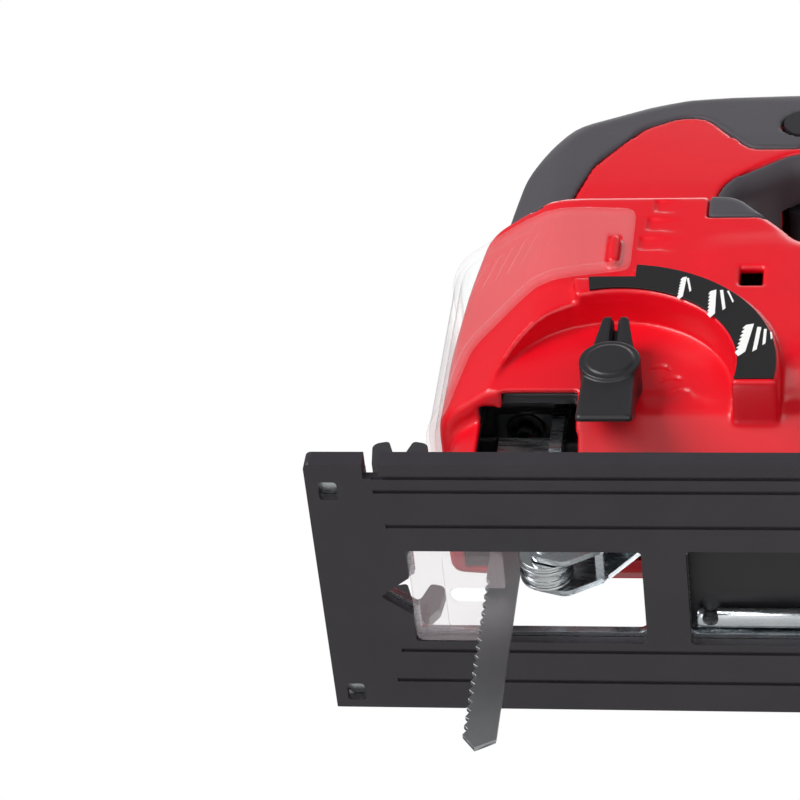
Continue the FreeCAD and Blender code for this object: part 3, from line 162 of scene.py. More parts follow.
@dataclass(frozen=True)
class Finish:
    """A surface as its maker would name it, with the grain that its making leaves."""

    name: str
    colour: str
    second: str
    roughness: float
    grain_mm: float = 0.4
    depth_mm: float = 0.02
    stretch: tuple[float, float, float] = (1.0, 1.0, 1.0)
    cloud_mm: float = 18.0
    cloud: float = 0.35
    roughness_spread: float = 0.06
    metallic: float = 0.0
    ior: float = 1.5
    coat: float = 0.0
    sheen: float = 0.0
    anisotropic: float = 0.0

    def coordinates(self, tree: bpy.types.NodeTree, stretched: bool) -> bpy.types.NodeSocket:
        """Object coordinates in metres, drawn out along the grain if the finish has a direction."""
        place = add_node(tree, "ShaderNodeTexCoord")
        scale = self.stretch if stretched else (1.0, 1.0, 1.0)
        mapped = add_node(tree, "ShaderNodeMapping", {"Scale": scale}, {"Vector": place.outputs["Object"]})
        return mapped.outputs["Vector"]

    def height(self, tree: bpy.types.NodeTree) -> bpy.types.NodeSocket:
        """Height field of the surface's own grain."""
        grain = add_node(
            tree,
            "ShaderNodeTexNoise",
            {"Scale": 1 / (self.grain_mm * MM), "Detail": 3.0, "Roughness": 0.55},
            {"Vector": self.coordinates(tree, True)},
        )
        return grain.outputs["Fac"]

    def shader(self, tree: bpy.types.NodeTree) -> bpy.types.Node:
        """The surface shader, with its constants on its own sockets."""
        settings = {
            "Metallic": self.metallic,
            "Coat Weight": self.coat,
            "Coat Roughness": 0.12,
            "Sheen Weight": self.sheen,
            "Sheen Roughness": 0.4,
            "Anisotropic": self.anisotropic,
        }
        if self.metallic < 0.5:
            settings["IOR"] = self.ior
        return add_node(tree, "ShaderNodeBsdfPrincipled", settings)

    def build(self) -> bpy.types.Material:
        """Make the material.

        Returns:
            A node material named for the finish.
        """
        material = bpy.data.materials.new(self.name)
        material.use_nodes = True
        tree = material.node_tree
        tree.nodes.clear()
        shader = self.shader(tree)
        clouds = add_node(
            tree,
            "ShaderNodeTexNoise",
            {"Scale": 1 / (self.cloud_mm * MM), "Detail": 4.0, "Roughness": 0.6},
            {"Vector": self.coordinates(tree, False)},
        )
        share = add_node(
            tree,
            "ShaderNodeMapRange",
            {"From Min": 0.3, "From Max": 0.7, "To Min": 0.0, "To Max": self.cloud},
            {"Value": clouds.outputs["Fac"]},
        )
        tint = add_node(
            tree,
            "ShaderNodeMixRGB",
            {"Color1": linear(self.colour), "Color2": linear(self.second)},
            {"Fac": share.outputs["Result"]},
        )
        height = self.height(tree)
        gloss = add_node(
            tree,
            "ShaderNodeMapRange",
            {
                "From Min": 0.25,
                "From Max": 0.75,
                "To Min": max(0.02, self.roughness - self.roughness_spread),
                "To Max": min(1.0, self.roughness + self.roughness_spread),
            },
            {"Value": height},
        )
        bump = add_node(
            tree,
            "ShaderNodeBump",
            {"Strength": 0.7, "Distance": self.depth_mm * MM},
            {"Height": height},
        )
        tree.links.new(tint.outputs["Color"], shader.inputs["Base Color"])
        tree.links.new(gloss.outputs["Result"], shader.inputs["Roughness"])
        tree.links.new(bump.outputs["Normal"], shader.inputs["Normal"])
        add_node(tree, "ShaderNodeOutputMaterial", links={"Surface": shader.outputs["BSDF"]})
        return material


@dataclass(frozen=True)
class LinedFinish(Finish):
    """A finish whose making leaves fine parallel lines: ground, turned, wound or stacked."""

    pitch_mm: float = 0.5
    direction: str = "X"
    rings: bool = False

    def height(self, tree: bpy.types.NodeTree) -> bpy.types.NodeSocket:
        """Lines at the pitch that the tool, wire or sheet leaves, broken up a little."""
        settings = {
            "wave_type": "RINGS" if self.rings else "BANDS",
            "Scale": 0.3142 / (self.pitch_mm * MM),
            "Distortion": 1.2,
            "Detail": 2.0,
            "Detail Scale": 1.5,
        }
        settings["rings_direction" if self.rings else "bands_direction"] = self.direction
        lines = add_node(tree, "ShaderNodeTexWave", settings, {"Vector": self.coordinates(tree, True)})
        return lines.outputs["Fac"]


@dataclass(frozen=True)
class ClearMoulding(Finish):
    """Clear polycarbonate or styrene: thin walls let light through, edges gather it."""

    thin: float = 0.07
    edge: float = 0.62

    def build(self) -> bpy.types.Material:
        """Make the clear material: more of the surface shows where it is seen edge on."""
        material = super().build()
        tree = material.node_tree
        shader = next(n for n in tree.nodes if n.type == "BSDF_PRINCIPLED")
        facing = add_node(tree, "ShaderNodeLayerWeight", {"Blend": 0.22})
        shown = add_node(
            tree,
            "ShaderNodeMapRange",
            {"From Min": 0.35, "From Max": 0.95, "To Min": self.thin, "To Max": self.edge},
            {"Value": facing.outputs["Facing"]},
        )
        tree.links.new(shown.outputs["Result"], shader.inputs["Alpha"])
        return material


FINISHES: dict[str, Finish] = {
    # Glossy ABS from a fine spark-eroded mould: an even red with a soft, slightly broken highlight.
    "red_abs": Finish("moulded_red_abs", "#E6031C", "#D4001A", 0.34, 0.45, 0.012, ior=1.54, coat=0.12),
    # Thermoplastic elastomer moulded over the ABS: charcoal, no sharp highlight, a velvety edge.
    "soft_grip": Finish("overmoulded_elastomer", "#47444A", "#3D3A40", 0.62, 0.5, 0.03, sheen=0.15),
    # Clear polycarbonate from a polished mould: a hard highlight and bright edges.
    "clear_plastic": ClearMoulding("polished_clear_polycarbonate", "#EEF2F3", "#DDE4E6", 0.06, 3.0, 0.02, ior=1.58),
    # Screen-printed film: flat black with a satin face.
    "black_label": Finish("screen_printed_black_film", "#121113", "#1A191B", 0.42, 0.6, 0.004),
    # White ink of the same film: a little rougher than the black.
    "white_ink": Finish("screen_printed_white_ink", "#F6F6F4", "#EAEAE8", 0.5, 0.6, 0.004),
    # Glass-filled nylon: near black, with a fine grain and a broad satin sheen.
    "black_plastic": Finish("moulded_black_nylon", "#1F1D20", "#29272B", 0.4, 0.35, 0.02, ior=1.53),
    "grey_plastic": Finish("moulded_charcoal_abs", "#333135", "#2B292D", 0.4, 0.4, 0.015, ior=1.53),
    # Nitrile rubber moulding: dead black and matt.
    "black_rubber": Finish("moulded_black_rubber", "#161517", "#201F21", 0.75, 0.4, 0.03),
    # Polyamide shoe: charcoal, rubbed satin, with faint streaks along the cut.
    "shoe_plastic": Finish(
        "moulded_shoe_polyamide", "#2B282D", "#37333A", 0.36, 0.5, 0.012, (0.35, 1.0, 1.0), 26.0, 0.6, ior=1.53
    ),
    # Clear styrene with a faint pink cast.
    "clear_insert": ClearMoulding("polished_clear_styrene", "#F6E9EE", "#EEDDE4", 0.08, 3.0, 0.02, ior=1.59, thin=0.16),
    # Zinc-plated sheet: cool, bright, with a soft drawn grain along the sheet.
    "zinc_steel": Finish(
        "zinc_plated_sheet_steel", "#D3D8DB", "#B9C0C5", 0.27, 0.9, 0.01, (0.12, 1.0, 1.0), 9.0, 0.6, 0.08, 1.0
    ),
    # Chromed and ground pins and rollers: near mirror with turning marks.
    "bright_steel": LinedFinish(
        "turned_bright_steel", "#DADDDF", "#B4B9BD", 0.16, 0.5, 0.006, metallic=1.0, pitch_mm=0.4, direction="Y"
    ),
    # Blade steel ground across its width: fine lines across, a broad streak of light along.
    "blade_steel": LinedFinish(
        "ground_blade_steel",
        "#CDCFD1",
        "#B4B7BA",
        0.36,
        0.5,
        0.006,
        cloud=0.5,
        metallic=1.0,
        anisotropic=0.5,
        pitch_mm=0.35,
        direction="Z",
    ),
    # Hard-drawn spring wire: grey with long drawing lines.
    "spring_steel": Finish("drawn_spring_wire", "#8E9093", "#6F7174", 0.32, 0.5, 0.01, metallic=1.0),
    # Blackened (phosphated) steel: dark with a low sheen.
    "dark_steel": Finish("phosphated_steel", "#2E2D30", "#3C3B3E", 0.42, 0.4, 0.02, metallic=0.6),
    # Case-hardened gear steel, hobbed: grey, lined along the tooth.
    "gear_steel": LinedFinish("hobbed_gear_steel", "#8B8A86", "#6F6E6B", 0.34, 0.5, 0.01, metallic=1.0),
    # Pressure die-cast aluminium: dull grey with a cast skin.
    "die_cast": Finish("die_cast_aluminium", "#A4A7AB", "#8B8E92", 0.45, 1.2, 0.05, metallic=1.0),
    # Silicon-steel sheets stacked on edge: one line per 0.5 mm sheet.
    "lamination_steel": LinedFinish("stacked_silicon_steel", "#6B6D70", "#4B4D50", 0.4, 0.5, 0.03, metallic=1.0),
    # Enamelled copper wire wound side by side.
    "copper": LinedFinish("wound_enamelled_copper", "#B5562A", "#8E3F1D", 0.3, 0.5, 0.12, metallic=1.0, pitch_mm=0.7),
    # Turned brass.
    "brass": LinedFinish("turned_brass", "#C7A45A", "#A98845", 0.28, 0.5, 0.008, metallic=1.0, pitch_mm=0.5),
    # Pressed carbon: soft black, faintly granular.
    "carbon": Finish("pressed_carbon", "#2A2A2C", "#1B1B1D", 0.6, 0.3, 0.03),
    # Potted film capacitor with a moulded yellow case.
    "yellow_case": Finish("moulded_yellow_case", "#D8B01E", "#C49B12", 0.35, 0.4, 0.01),
    # Bright orange-red, glossy colour on the clamp lever's end.
    "orange_plastic": Finish("orange_red_lever_tip", "#F0401C", "#DD3414", 0.35, 0.6, 0.02),
}


class Palette:
    """Builds each finish once and hands out its material."""

    def __init__(self) -> None:
        """Start with no material made."""
        self.made: dict[str, bpy.types.Material] = {}

    def get(self, name: str) -> bpy.types.Material:
        """The material of that finish, made the first time that it is asked for."""
        if name not in self.made:
            self.made[name] = FINISHES[name].build()
        return self.made[name]


# ---------------------------------------------------------------- outlines, distance fields, skins


def outline(corners: Sequence[Corner]) -> np.ndarray:
    """Close an outline through corners, each rounded by a tangent arc.

    Args:
        corners: (u, v, radius) in millimetres; a radius of 0 keeps the corner sharp.

    Returns:
        Points of the outline, one row each.
    """
    points = []
    count = len(corners)
    for i, (u, v, radius) in enumerate(corners):
        here = np.array([u, v], float)
        before = np.array(corners[i - 1][:2]) - here
        after = np.array(corners[(i + 1) % count][:2]) - here
        if radius <= 0:
            points.append(here)
            continue
        shorter = min(np.linalg.norm(before), np.linalg.norm(after))
        before /= np.linalg.norm(before)
        after /= np.linalg.norm(after)
        half = math.acos(float(np.clip(before @ after, -1, 1))) / 2
        reach = min(radius / math.tan(half), 0.45 * shorter)
        radius = reach * math.tan(half)
        inward = (before + after) / np.linalg.norm(before + after)
        centre = here + inward * radius / math.sin(half)
        first = here + before * reach - centre
        last = here + after * reach - centre
        start = math.atan2(first[1], first[0])
        turn = (math.atan2(last[1], last[0]) - start + math.pi) % (2 * math.pi) - math.pi
        steps = max(2, math.ceil(abs(turn) / ARC_STEP))
        for k in range(steps + 1):
            a = start + turn * k / steps
            points.append(centre + radius * np.array([math.cos(a), math.sin(a)]))
    return np.array(points)


def flat_distance(u: np.ndarray, v: np.ndarray, loop: np.ndarray) -> np.ndarray:
    """Signed distance to a closed outline in its own plane, negative inside.

    Args:
        u: first coordinates, shaped to broadcast with v.
        v: second coordinates.
        loop: points of the outline.

    Returns:
        Distances in the broadcast shape.
    """
    shape = np.broadcast_shapes(u.shape, v.shape)
    best = np.full(shape, FAR * FAR, np.float32)
    inside = np.zeros(shape, bool)
    for (u0, v0), (u1, v1) in zip(loop, np.roll(loop, -1, axis=0)):
        du, dv = u1 - u0, v1 - v0
        length = du * du + dv * dv
        if length < 1e-9:
            continue
        t = np.clip(((u - u0) * du + (v - v0) * dv) / length, 0, 1)
        best = np.minimum(best, (u - u0 - t * du) ** 2 + (v - v0 - t * dv) ** 2)
        if dv:
            inside ^= ((v0 > v) != (v1 > v)) & (u < du * (v - v0) / dv + u0)
    distance = np.sqrt(best)
    return np.where(inside, -distance, distance).astype(np.float32)


def both(a: np.ndarray, b: np.ndarray, radius: float = 0.0) -> np.ndarray:
    """What lies in a and in b, with that radius on the edge between them."""
    if radius <= 0:
        return np.maximum(a, b)
    corner = np.hypot(np.maximum(a + radius, 0), np.maximum(b + radius, 0))
    return np.minimum(np.maximum(a, b), -radius) + corner


def either(a: np.ndarray, b: np.ndarray, radius: float = 0.0) -> np.ndarray:
    """What lies in a or in b, with that radius in the corner between them."""
    return -both(-a, -b, radius)


def melt(a: np.ndarray, b: np.ndarray, width: float) -> np.ndarray:
    """Union of a and b that flows together over that width."""
    h = np.maximum(width - np.abs(a - b), 0) / width
    return np.minimum(a, b) - h * h * width / 4


def without(a: np.ndarray, b: np.ndarray, radius: float = 0.0) -> np.ndarray:
    """What lies in a and not in b, with that radius on the edge of the cut."""
    return both(a, -b, radius)


class Block:
    """A block of space sampled on a regular grid, in which forms are distance fields."""

    def __init__(self, low: Corner, high: Corner, step: float) -> None:
        """Lay the grid.

        Args:
            low: lowest corner in millimetres.
            high: highest corner.
            step: spacing of the samples.
        """
        self.step = step
        self.low = np.array(low)
        grid = [np.arange(a, b + step, step, dtype=np.float32) for a, b in zip(low, high)]
        self.x = grid[0][:, None, None]
        self.y = grid[1][None, :, None]
        self.z = grid[2][None, None, :]

    def side(self, corners: Sequence[Corner]) -> np.ndarray:
        """Endless prism along Y from an outline in x and z."""
        return flat_distance(self.x, self.z, outline(corners))

    def plan(self, corners: Sequence[Corner]) -> np.ndarray:
        """Endless prism along Z from an outline in x and y."""
        return flat_distance(self.x, self.y, outline(corners))

    def section(self, corners: Sequence[Corner]) -> np.ndarray:
        """Endless prism along X from an outline in y and z."""
        return flat_distance(self.y, self.z, outline(corners))

    def rod_y(self, x: float, z: float, radius: float) -> np.ndarray:
        """Endless rod along Y."""
        return np.hypot(self.x - x, self.z - z) - radius

    def rod_x(self, y: float, z: float, radius: float) -> np.ndarray:
        """Endless rod along X."""
        return np.hypot(self.y - y, self.z - z) - radius

    def box(self, x: tuple, y: tuple, z: tuple, radius: float = 0.0) -> np.ndarray:
        """Box between pairs of faces, with that radius on its edges."""
        sides = [abs(c - (a + b) / 2) - (b - a) / 2 for c, (a, b) in zip((self.x, self.y, self.z), (x, y, z))]
        return both(both(sides[0], sides[1], radius), sides[2], radius)

    def skin(self, field: np.ndarray) -> tuple[np.ndarray, np.ndarray]:
        """Closed quad skin of a form: one point per cell that the surface crosses.

        Args:
            field: distance field on this block's grid.

        Returns:
            Points in millimetres and quads as rows of four point numbers.
        """
        shape = (self.x.size, self.y.size, self.z.size)
        full = np.ascontiguousarray(np.broadcast_to(field, shape))
        cells = tuple(n - 1 for n in shape)
        strides = np.array([cells[1] * cells[2], cells[2], 1])
        ids, places, rings = [], [], []
        for axis in range(3):
            lower = np.take(full, range(shape[axis] - 1), axis)
            upper = np.take(full, range(1, shape[axis]), axis)
            at = np.argwhere((lower < 0) != (upper < 0))
            f0 = lower[tuple(at.T)]
            f1 = upper[tuple(at.T)]
            b, c = (axis + 1) % 3, (axis + 2) % 3
            keep = (at[:, b] > 0) & (at[:, c] > 0) & (at[:, b] < cells[b]) & (at[:, c] < cells[c])
            at, f0, f1 = at[keep], f0[keep], f1[keep]
            where = at.astype(np.float64)
            where[:, axis] += f0 / (f0 - f1)
            around = []
            for db, dc in ((1, 1), (0, 1), (0, 0), (1, 0)):
                cell = at.copy()
                cell[:, b] -= db
                cell[:, c] -= dc
                around.append(cell @ strides)
                ids.append(around[-1])
                places.append(where)
            ring = np.stack(around, 1)
            ring[f0 >= 0] = ring[f0 >= 0][:, ::-1]
            rings.append(ring)
        ids = np.concatenate(ids)
        places = np.concatenate(places)
        used, slot = np.unique(ids, return_inverse=True)
        total = np.bincount(slot, minlength=len(used))
        points = np.stack([np.bincount(slot, places[:, k], len(used)) / total for k in range(3)], 1)
        quads = np.searchsorted(used, np.concatenate(rings))
        return points * self.step + self.low, quads


@dataclass(frozen=True)
class Datum:
    """Where the blade line stands in the frame, and how a piece is put there."""

    blade_x: float
    palette: Palette

    def piece(
        self,
        name: str,
        points: np.ndarray,
        faces: Iterable,
        finish: str,
        body: str,
        slot: Slot | None = None,
        replaces: Sequence[str] = (),
        smooth: bool = True,
    ) -> bpy.types.Object:
        """Make a mesh piece, dress it and let it ride on a body.

        Args:
            name: the piece's name.
            points: points in millimetres from the blade line.
            faces: rows of point numbers.
            finish: name of its finish.
            body: CAD body that it moves with.
            slot: not used.
            replaces: CAD nodes that it stands for.
            smooth: whether its faces are shaded smooth.

        Returns:
            The new object.
        """
        mesh = bpy.data.meshes.new(name)
        mesh.from_pydata((np.asarray(points) * MM + (self.blade_x, 0, 0)).tolist(), [], [list(f) for f in faces])
        mesh.polygons.foreach_set("use_smooth", [smooth] * len(mesh.polygons))
        mesh.update()
        mesh.materials.append(self.palette.get(finish))
        piece = bpy.data.objects.new(name, mesh)
        bpy.context.scene.collection.objects.link(piece)
        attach(piece, body)
        if replaces:
            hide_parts(*replaces)
        LOG.info("%s: %d points", name, len(mesh.vertices))
        return piece

    def carve(self, name: str, block: Block, field: np.ndarray, *rest: object, **more: object) -> bpy.types.Object:
        """Make a piece from a distance field; the other arguments are those of piece()."""
        points, quads = block.skin(field)
        return self.piece(name, points, quads, *rest, **more)


def prisms(outlines: Sequence[np.ndarray], front: float, back: float) -> tuple[np.ndarray, list]:
    """Prisms along Y from outlines in x and z.

    Args:
        outlines: each a run of (x, z) points, clockwise or not.
        front: y of the faces turned to -Y.
        back: y of the faces turned to +Y.

    Returns:
        Points and faces of all prisms together.
    """
    points, faces = [], []
    for loop in outlines:
        loop = np.asarray(loop, float)
        area = np.sum(loop[:, 0] * np.roll(loop[:, 1], -1) - np.roll(loop[:, 0], -1) * loop[:, 1])
        if area < 0:
            loop = loop[::-1]
        base, n = len(points), len(loop)
        points += [(x, front, z) for x, z in loop] + [(x, back, z) for x, z in loop]
        faces.append([base + i for i in range(n)])
        faces.append([base + n + i for i in reversed(range(n))])
        for i in range(n):
            j = (i + 1) % n
            faces.append([base + j, base + i, base + n + i, base + n + j])
    return np.array(points), faces


# ---------------------------------------------------------------- the body's form


@dataclass(frozen=True)
class BodyForm:
    """Outer form that the two housing halves, the grips and the chip guard share."""

    nose_front: float = -20.0
    body_half: float = 36.0
    lower_half: float = 28.0
    handle_half: float = 18.0
    column_half: float = 22.0
    motor_rear: float = 178.0
    barrel_front: float = 46.0
    barrel_low: float = 37.0
    barrel_top_front: float = 98.0
    barrel_top_rear: float = 110.0
    handle_top: float = 192.0
    tilt_z: float = 1.3
    saddle_r: float = 26.3
    selector_x: float = 25.3
    selector_z: float = 42.0
    arch_r: float = 30.0
    visor_r: float = 41.0
    visor_out: float = 38.0

    def nose_plan(self, half: float, front: float) -> list[Corner]:
        """Plan outline with a rounded nose, long enough to pass the rear."""
        end = self.motor_rear + 20
        bend = half * 0.62
        left = [(front, -half * 0.5, bend * 0.6), (front + half * 0.72, -half, bend), (end, -half, 0)]
        return left + [(x, -y, r) for x, y, r in reversed(left)]

    def keel(self, half: float, top: float) -> list[Corner]:
        """Section whose flanks slope in at 45 degrees, so that the sole can tilt under it."""
        lift = 9.5 + self.tilt_z
        foot = 12.0
        right = [(foot, foot + lift, 3), (half, half + lift, 8), (half, top, 0)]
        return right + [(-y, z, r) for y, z, r in reversed(right)]

    def opening(self) -> list[Corner]:
        """Outline of the hand opening in x and z."""
        return [(50, 92, 4), (50, 138, 12), (66, 150, 10), (104, 154, 30), (149, 146, 14), (150, 92, 4)]

    def head(self, block: Block) -> np.ndarray:
        """Gear head behind the blade, with its rounded nose."""
        corners = [(self.nose_front, 44, 5), (self.nose_front + 0.6, 72, 40), (-16.5, 95, 30), (-12.5, 116, 6)]
        corners += [(52, 116, 8), (66, 100, 8), (66, 44, 4)]
        form = both(block.side(corners), block.section(self.keel(self.body_half, 130)), 3.0)
        return both(form, block.plan(self.nose_plan(self.body_half, self.nose_front)), 2.0)

    def lower(self, block: Block) -> np.ndarray:
        """Narrower lower body over the blade and the saddle."""
        front = self.nose_front + 4
        form = both(block.section(self.keel(self.lower_half, 80)), block.plan(self.nose_plan(self.lower_half, front)), 2.0)
        return both(form, np.maximum(block.x - 110, block.z - 78), 2.0)

    def barrel(self, block: Block) -> np.ndarray:
        """Motor barrel, higher towards the rear."""
        half, low, high = self.body_half, self.barrel_low, self.barrel_top_rear
        section = block.section([(-half, low, 21), (half, low, 21), (half, high, 17), (-half, high, 17)])
        rise = (high - self.barrel_top_front) / (self.motor_rear - self.barrel_front)
        top = block.z - self.barrel_top_front - rise * (block.x - self.barrel_front)
        ends = np.abs(block.x - (self.barrel_front + self.motor_rear) / 2) - (self.motor_rear - self.barrel_front) / 2
        return both(both(section, top, 9.0), ends, 5.0)

    def handle(self, block: Block) -> np.ndarray:
        """D-handle: front column, top bar and rear column round the hand opening."""
        top = self.handle_top
        outer = [(-12.7, 90, 0), (-12.7, 112, 20), (-11.4, 130, 20), (-7.5, 152, 20), (3.5, 173, 16), (34, top - 3, 60)]
        outer += [(70, top, 80), (140, top - 4, 40), (174, top - 18, 14), (self.motor_rear, 90, 0)]
        ring = both(block.side(outer), -block.side(self.opening()))
        column, bar = self.column_half, self.handle_half
        taper = [(-column, 84, 0), (column, 84, 0), (column, 140, 20), (bar, top, 11), (-bar, top, 11), (-column, 140, 20)]
        form = both(ring, block.section(taper), 7.0)
        return both(form, block.plan(self.nose_plan(column, -12.7)), 2.0)

    def outer(self, block: Block) -> np.ndarray:
        """The whole body, before the selector's arch and the saddle are cut from it."""
        form = melt(self.head(block), self.barrel(block), 6.0)
        form = melt(form, self.handle(block), 12.0)
        limits = np.maximum(np.abs(block.y) - self.body_half, block.x - self.motor_rear)
        return either(both(form, limits, 1.0), self.lower(block), 1.5)

    def arch(self, block: Block) -> np.ndarray:
        """Round recess in the left side that the orbit selector turns in."""
        return both(block.rod_y(self.selector_x, self.selector_z, self.arch_r), block.y + self.lower_half)

    def saddle(self, block: Block) -> np.ndarray:
        """Round underside that sits on the tilting saddle."""
        return both(block.rod_x(0, self.tilt_z, self.saddle_r), 38 - block.x)

    def visor(self, block: Block) -> np.ndarray:
        """Raised arch round the selector that carries the printed scale."""
        ring = both(
            block.rod_y(self.selector_x, self.selector_z, self.visor_r),
            -block.rod_y(self.selector_x, self.selector_z, self.arch_r),
        )
        face = np.abs(block.y + (self.visor_out + 20) / 2) - (self.visor_out - 20) / 2
        x = self.selector_x
        wedge = [(x - 6, 42, 0), (x - 12, 77.5, 0), (x + 3.2, 77.5, 1.5), (x + 3.2, 95, 0)]
        wedge += [(95, 95, 0), (95, 35.5, 0), (x + 20, 35.5, 0)]
        return both(both(ring, face, 1.3), block.side(wedge), 0.8)


# ---------------------------------------------------------------- sub-assemblies


@dataclass
class Housing:
    """Red clamshell in two halves, with the openings, ribs and wells that it is moulded with."""

    datum: Datum
    form: BodyForm
    step: float = 0.75
    wall: float = 2.6
    grip_skin: float = 1.8
    groove: float = 0.25
    liner: float = 1.5
    lining: float = 5.0
    vent_front: float = 142.0
    vent_rear: float = 168.0
    vent_low: float = 50.5
    vent_pitch: float = 10.0
    vent_high: float = 3.4
    vents: int = 4
    well_r: float = 3.7
    screws: tuple = ((40, 176), (102, 178), (140, 180), (162, 140), (168, 98), (56, 106), (78, 44), (48, 50))

    def block(self, side: int) -> Block:
        """Space round one half: side is -1 for the left and 1 for the right."""
        y = (-40.5, 1.5) if side < 0 else (-1.5, 38.5)
        return Block((-23, y[0], 20), (181, y[1], 195), self.step)

    def grip_zone(self, block: Block) -> np.ndarray:
        """Side outline of the soft overmould over the nose and the top of the handle."""
        corners = [(-20, 124, 0), (2, 113, 2), (12, 150, 20), (24, 168, 10), (38, 176, 8), (53, 157, 6)]
        corners += [(66, 157, 3), (73, 165, 3), (100, 168, 0), (150, 166, 2), (158, 200, 0), (-20, 200, 0)]
        return block.side(corners)

    def lining_zone(self, block: Block) -> np.ndarray:
        """Band round the inside of the hand opening, above the barrel."""
        return both(block.side(self.form.opening()) - self.lining, 106 - block.z)

    def pocket(self, block: Block) -> np.ndarray:
        """Opening under the nose that the blade, its clamp and the roller work in."""
        mouth = [(-7, 8, 0), (-7, 38, 1), (-2, 45, 1), (16.5, 45, 1), (16.5, 8, 0)]
        side = both(block.side(mouth), np.maximum(block.y, -block.y - 40))
        bays = [
            block.box((-12, 12), (-11, 11), (0, 60.5)),
            block.box((5, 35), (-8, 8), (0, 41)),
            block.box((-8, 17), (-23, -10.5), (0, 60)),
            block.box((-5, 13.1), (-23, -11.2), (50, 71.2)),
            both(np.hypot(block.x, block.y) - 16.6, block.box((-20, 0), (-23, -10.5), (0, 52))),
            both(np.hypot(block.x + 1.96, block.y) - 16.6, block.box((-20, 0), (-23, -10.5), (0, 52))),
        ]
        for bay in bays:
            side = np.minimum(side, bay)
        return side

    def controls(self, block: Block) -> np.ndarray:
        """Slots and holes for the trigger, lock button, speed dial and cord."""
        cuts = [
            block.box((61.6, 96.4), (-6.9, 6.9), (140, 162)),
            both(block.rod_y(67, 169, 5.8), block.y + 8),
            block.box((108.6, 131.4), (-3.9, 3.9), (184, 194)),
            both(block.rod_x(0, self.form.handle_top - 32, 9.4), 162 - block.x),
        ]
        field = cuts[0]
        for cut in cuts[1:]:
            field = np.minimum(field, cut)
        return field

    def vent_slots(self, block: Block) -> np.ndarray:
        """Air slots over the brushes, one above the other."""
        field = np.float32(FAR)
        for i in range(self.vents):
            z = self.vent_low + i * self.vent_pitch
            field = np.minimum(field, block.box((self.vent_front, self.vent_rear), (-60, 60), (z, z + self.vent_high)))
        return field

    def fins(self, block: Block) -> np.ndarray:
        """Three stepped scallops on the flank behind the chip guard's end, deep in front and fading rearwards."""
        field = np.float32(FAR)
        for front, low, length in ((31.5, 108.5, 13.0), (30.0, 100.5, 19.0), (28.5, 92.5, 22.0)):
            depth = 1.7 * (1 - (block.x - front) / length)
            surface = self.form.body_half + 0.3 - np.abs(block.y) - np.maximum(depth, 0)
            droop = 0.012 * (block.x - front) ** 2
            band = np.abs(block.z - low - 2.6 + droop) - 2.6
            field = np.minimum(field, np.maximum(np.maximum(surface, band), front - block.x))
        return field

    def crescents(self, block: Block) -> np.ndarray:
        """Three thumbnail marks in the recess floor, one for each orbit step."""
        field = np.float32(FAR)
        for x, z in ((36, 52.5), (39.5, 48), (42, 43)):
            moon = both(block.rod_y(x, z, 2.7), -block.rod_y(x, z - 1.3, 2.7))
            field = np.minimum(field, moon)
        return both(field, np.abs(block.y + self.form.lower_half) - 0.9)

    def catch(self, block: Block, side: int) -> np.ndarray:
        """Lug that the chip guard's slot snaps over."""
        y = (-38, -33) if side < 0 else (33, 38)
        return block.box((21.2, 23.8), y, (84.4, 95.6), 1.1)

    def wells(self, block: Block, posts: bool) -> np.ndarray:
        """Screw wells of the right half, or the posts round them."""
        radius = self.well_r + (1.6 if posts else 0)
        field = np.float32(FAR)
        for x, z in self.screws:
            field = np.minimum(field, block.rod_y(x, z, radius))
        return both(field, (1.0 if posts else 10.5) - block.y)

    def build(self) -> None:
        """Make both halves with their grips, linings and the black bay behind the blade."""
        for side, name in ((-1, "left"), (1, "right")):
            block = self.block(side)
            plain = self.form.outer(block)
            body = plain
            if side < 0:
                body = without(body, self.form.arch(block), 1.4)
            body = without(body, self.form.saddle(block), 0.8)
            shell = without(body, body + self.wall)
            if side < 0:
                shell = either(shell, self.form.visor(block), 0.9)
                shell = without(shell, self.crescents(block))
                shell = without(shell, block.box((54.7, 60.3), (-50, -31), (77, 84)))
            else:
                posts = both(self.wells(block, True), body + 0.6)
                shell = without(np.minimum(shell, posts), self.wells(block, False), 0.5)
            shell = either(shell, self.catch(block, side))
            shell = without(shell, self.vent_slots(block), 0.5)
            shell = without(shell, self.fins(block))
            pocket = self.pocket(block)
            shell = without(shell, pocket, 0.7)
            shell = without(shell, both(pocket - self.liner - 0.1, body + self.liner))
            zone = np.minimum(self.grip_zone(block), self.lining_zone(block))
            shell = without(shell, both(zone, -(plain + self.grip_skin)))
            shell = without(shell, self.controls(block))
            half = both(shell, block.y * -side + 0.02, 0.35)
            node = f"{name}_housing"
            self.datum.carve(f"{name}_clamshell", block, half, "red_abs", "housing", slot=Slot.RED_ABS, replaces=[node])
            skin = both(zone + self.groove, both(plain - 0.2, -(plain + self.grip_skin - 0.1)), 0.6)
            skin = both(without(skin, self.controls(block) - 0.5), block.y * -side + 0.02, 0.35)
            self.datum.carve(
                f"{name}_overmould", block, skin, "soft_grip", "housing", slot=Slot.SOFT_GRIP, replaces=[f"{name}_soft_grip"]
            )
            bay = both(both(-pocket, pocket - self.liner), body + self.liner)
            bay = without(bay, block.box((-7, 7), (-7, 7), (45, 70)))
            bay = both(bay, block.y * -side + 0.02)
            self.datum.carve(f"{name}_blade_bay", block, bay, "black_plastic", "housing", slot=Slot.BLACK_PLASTIC)


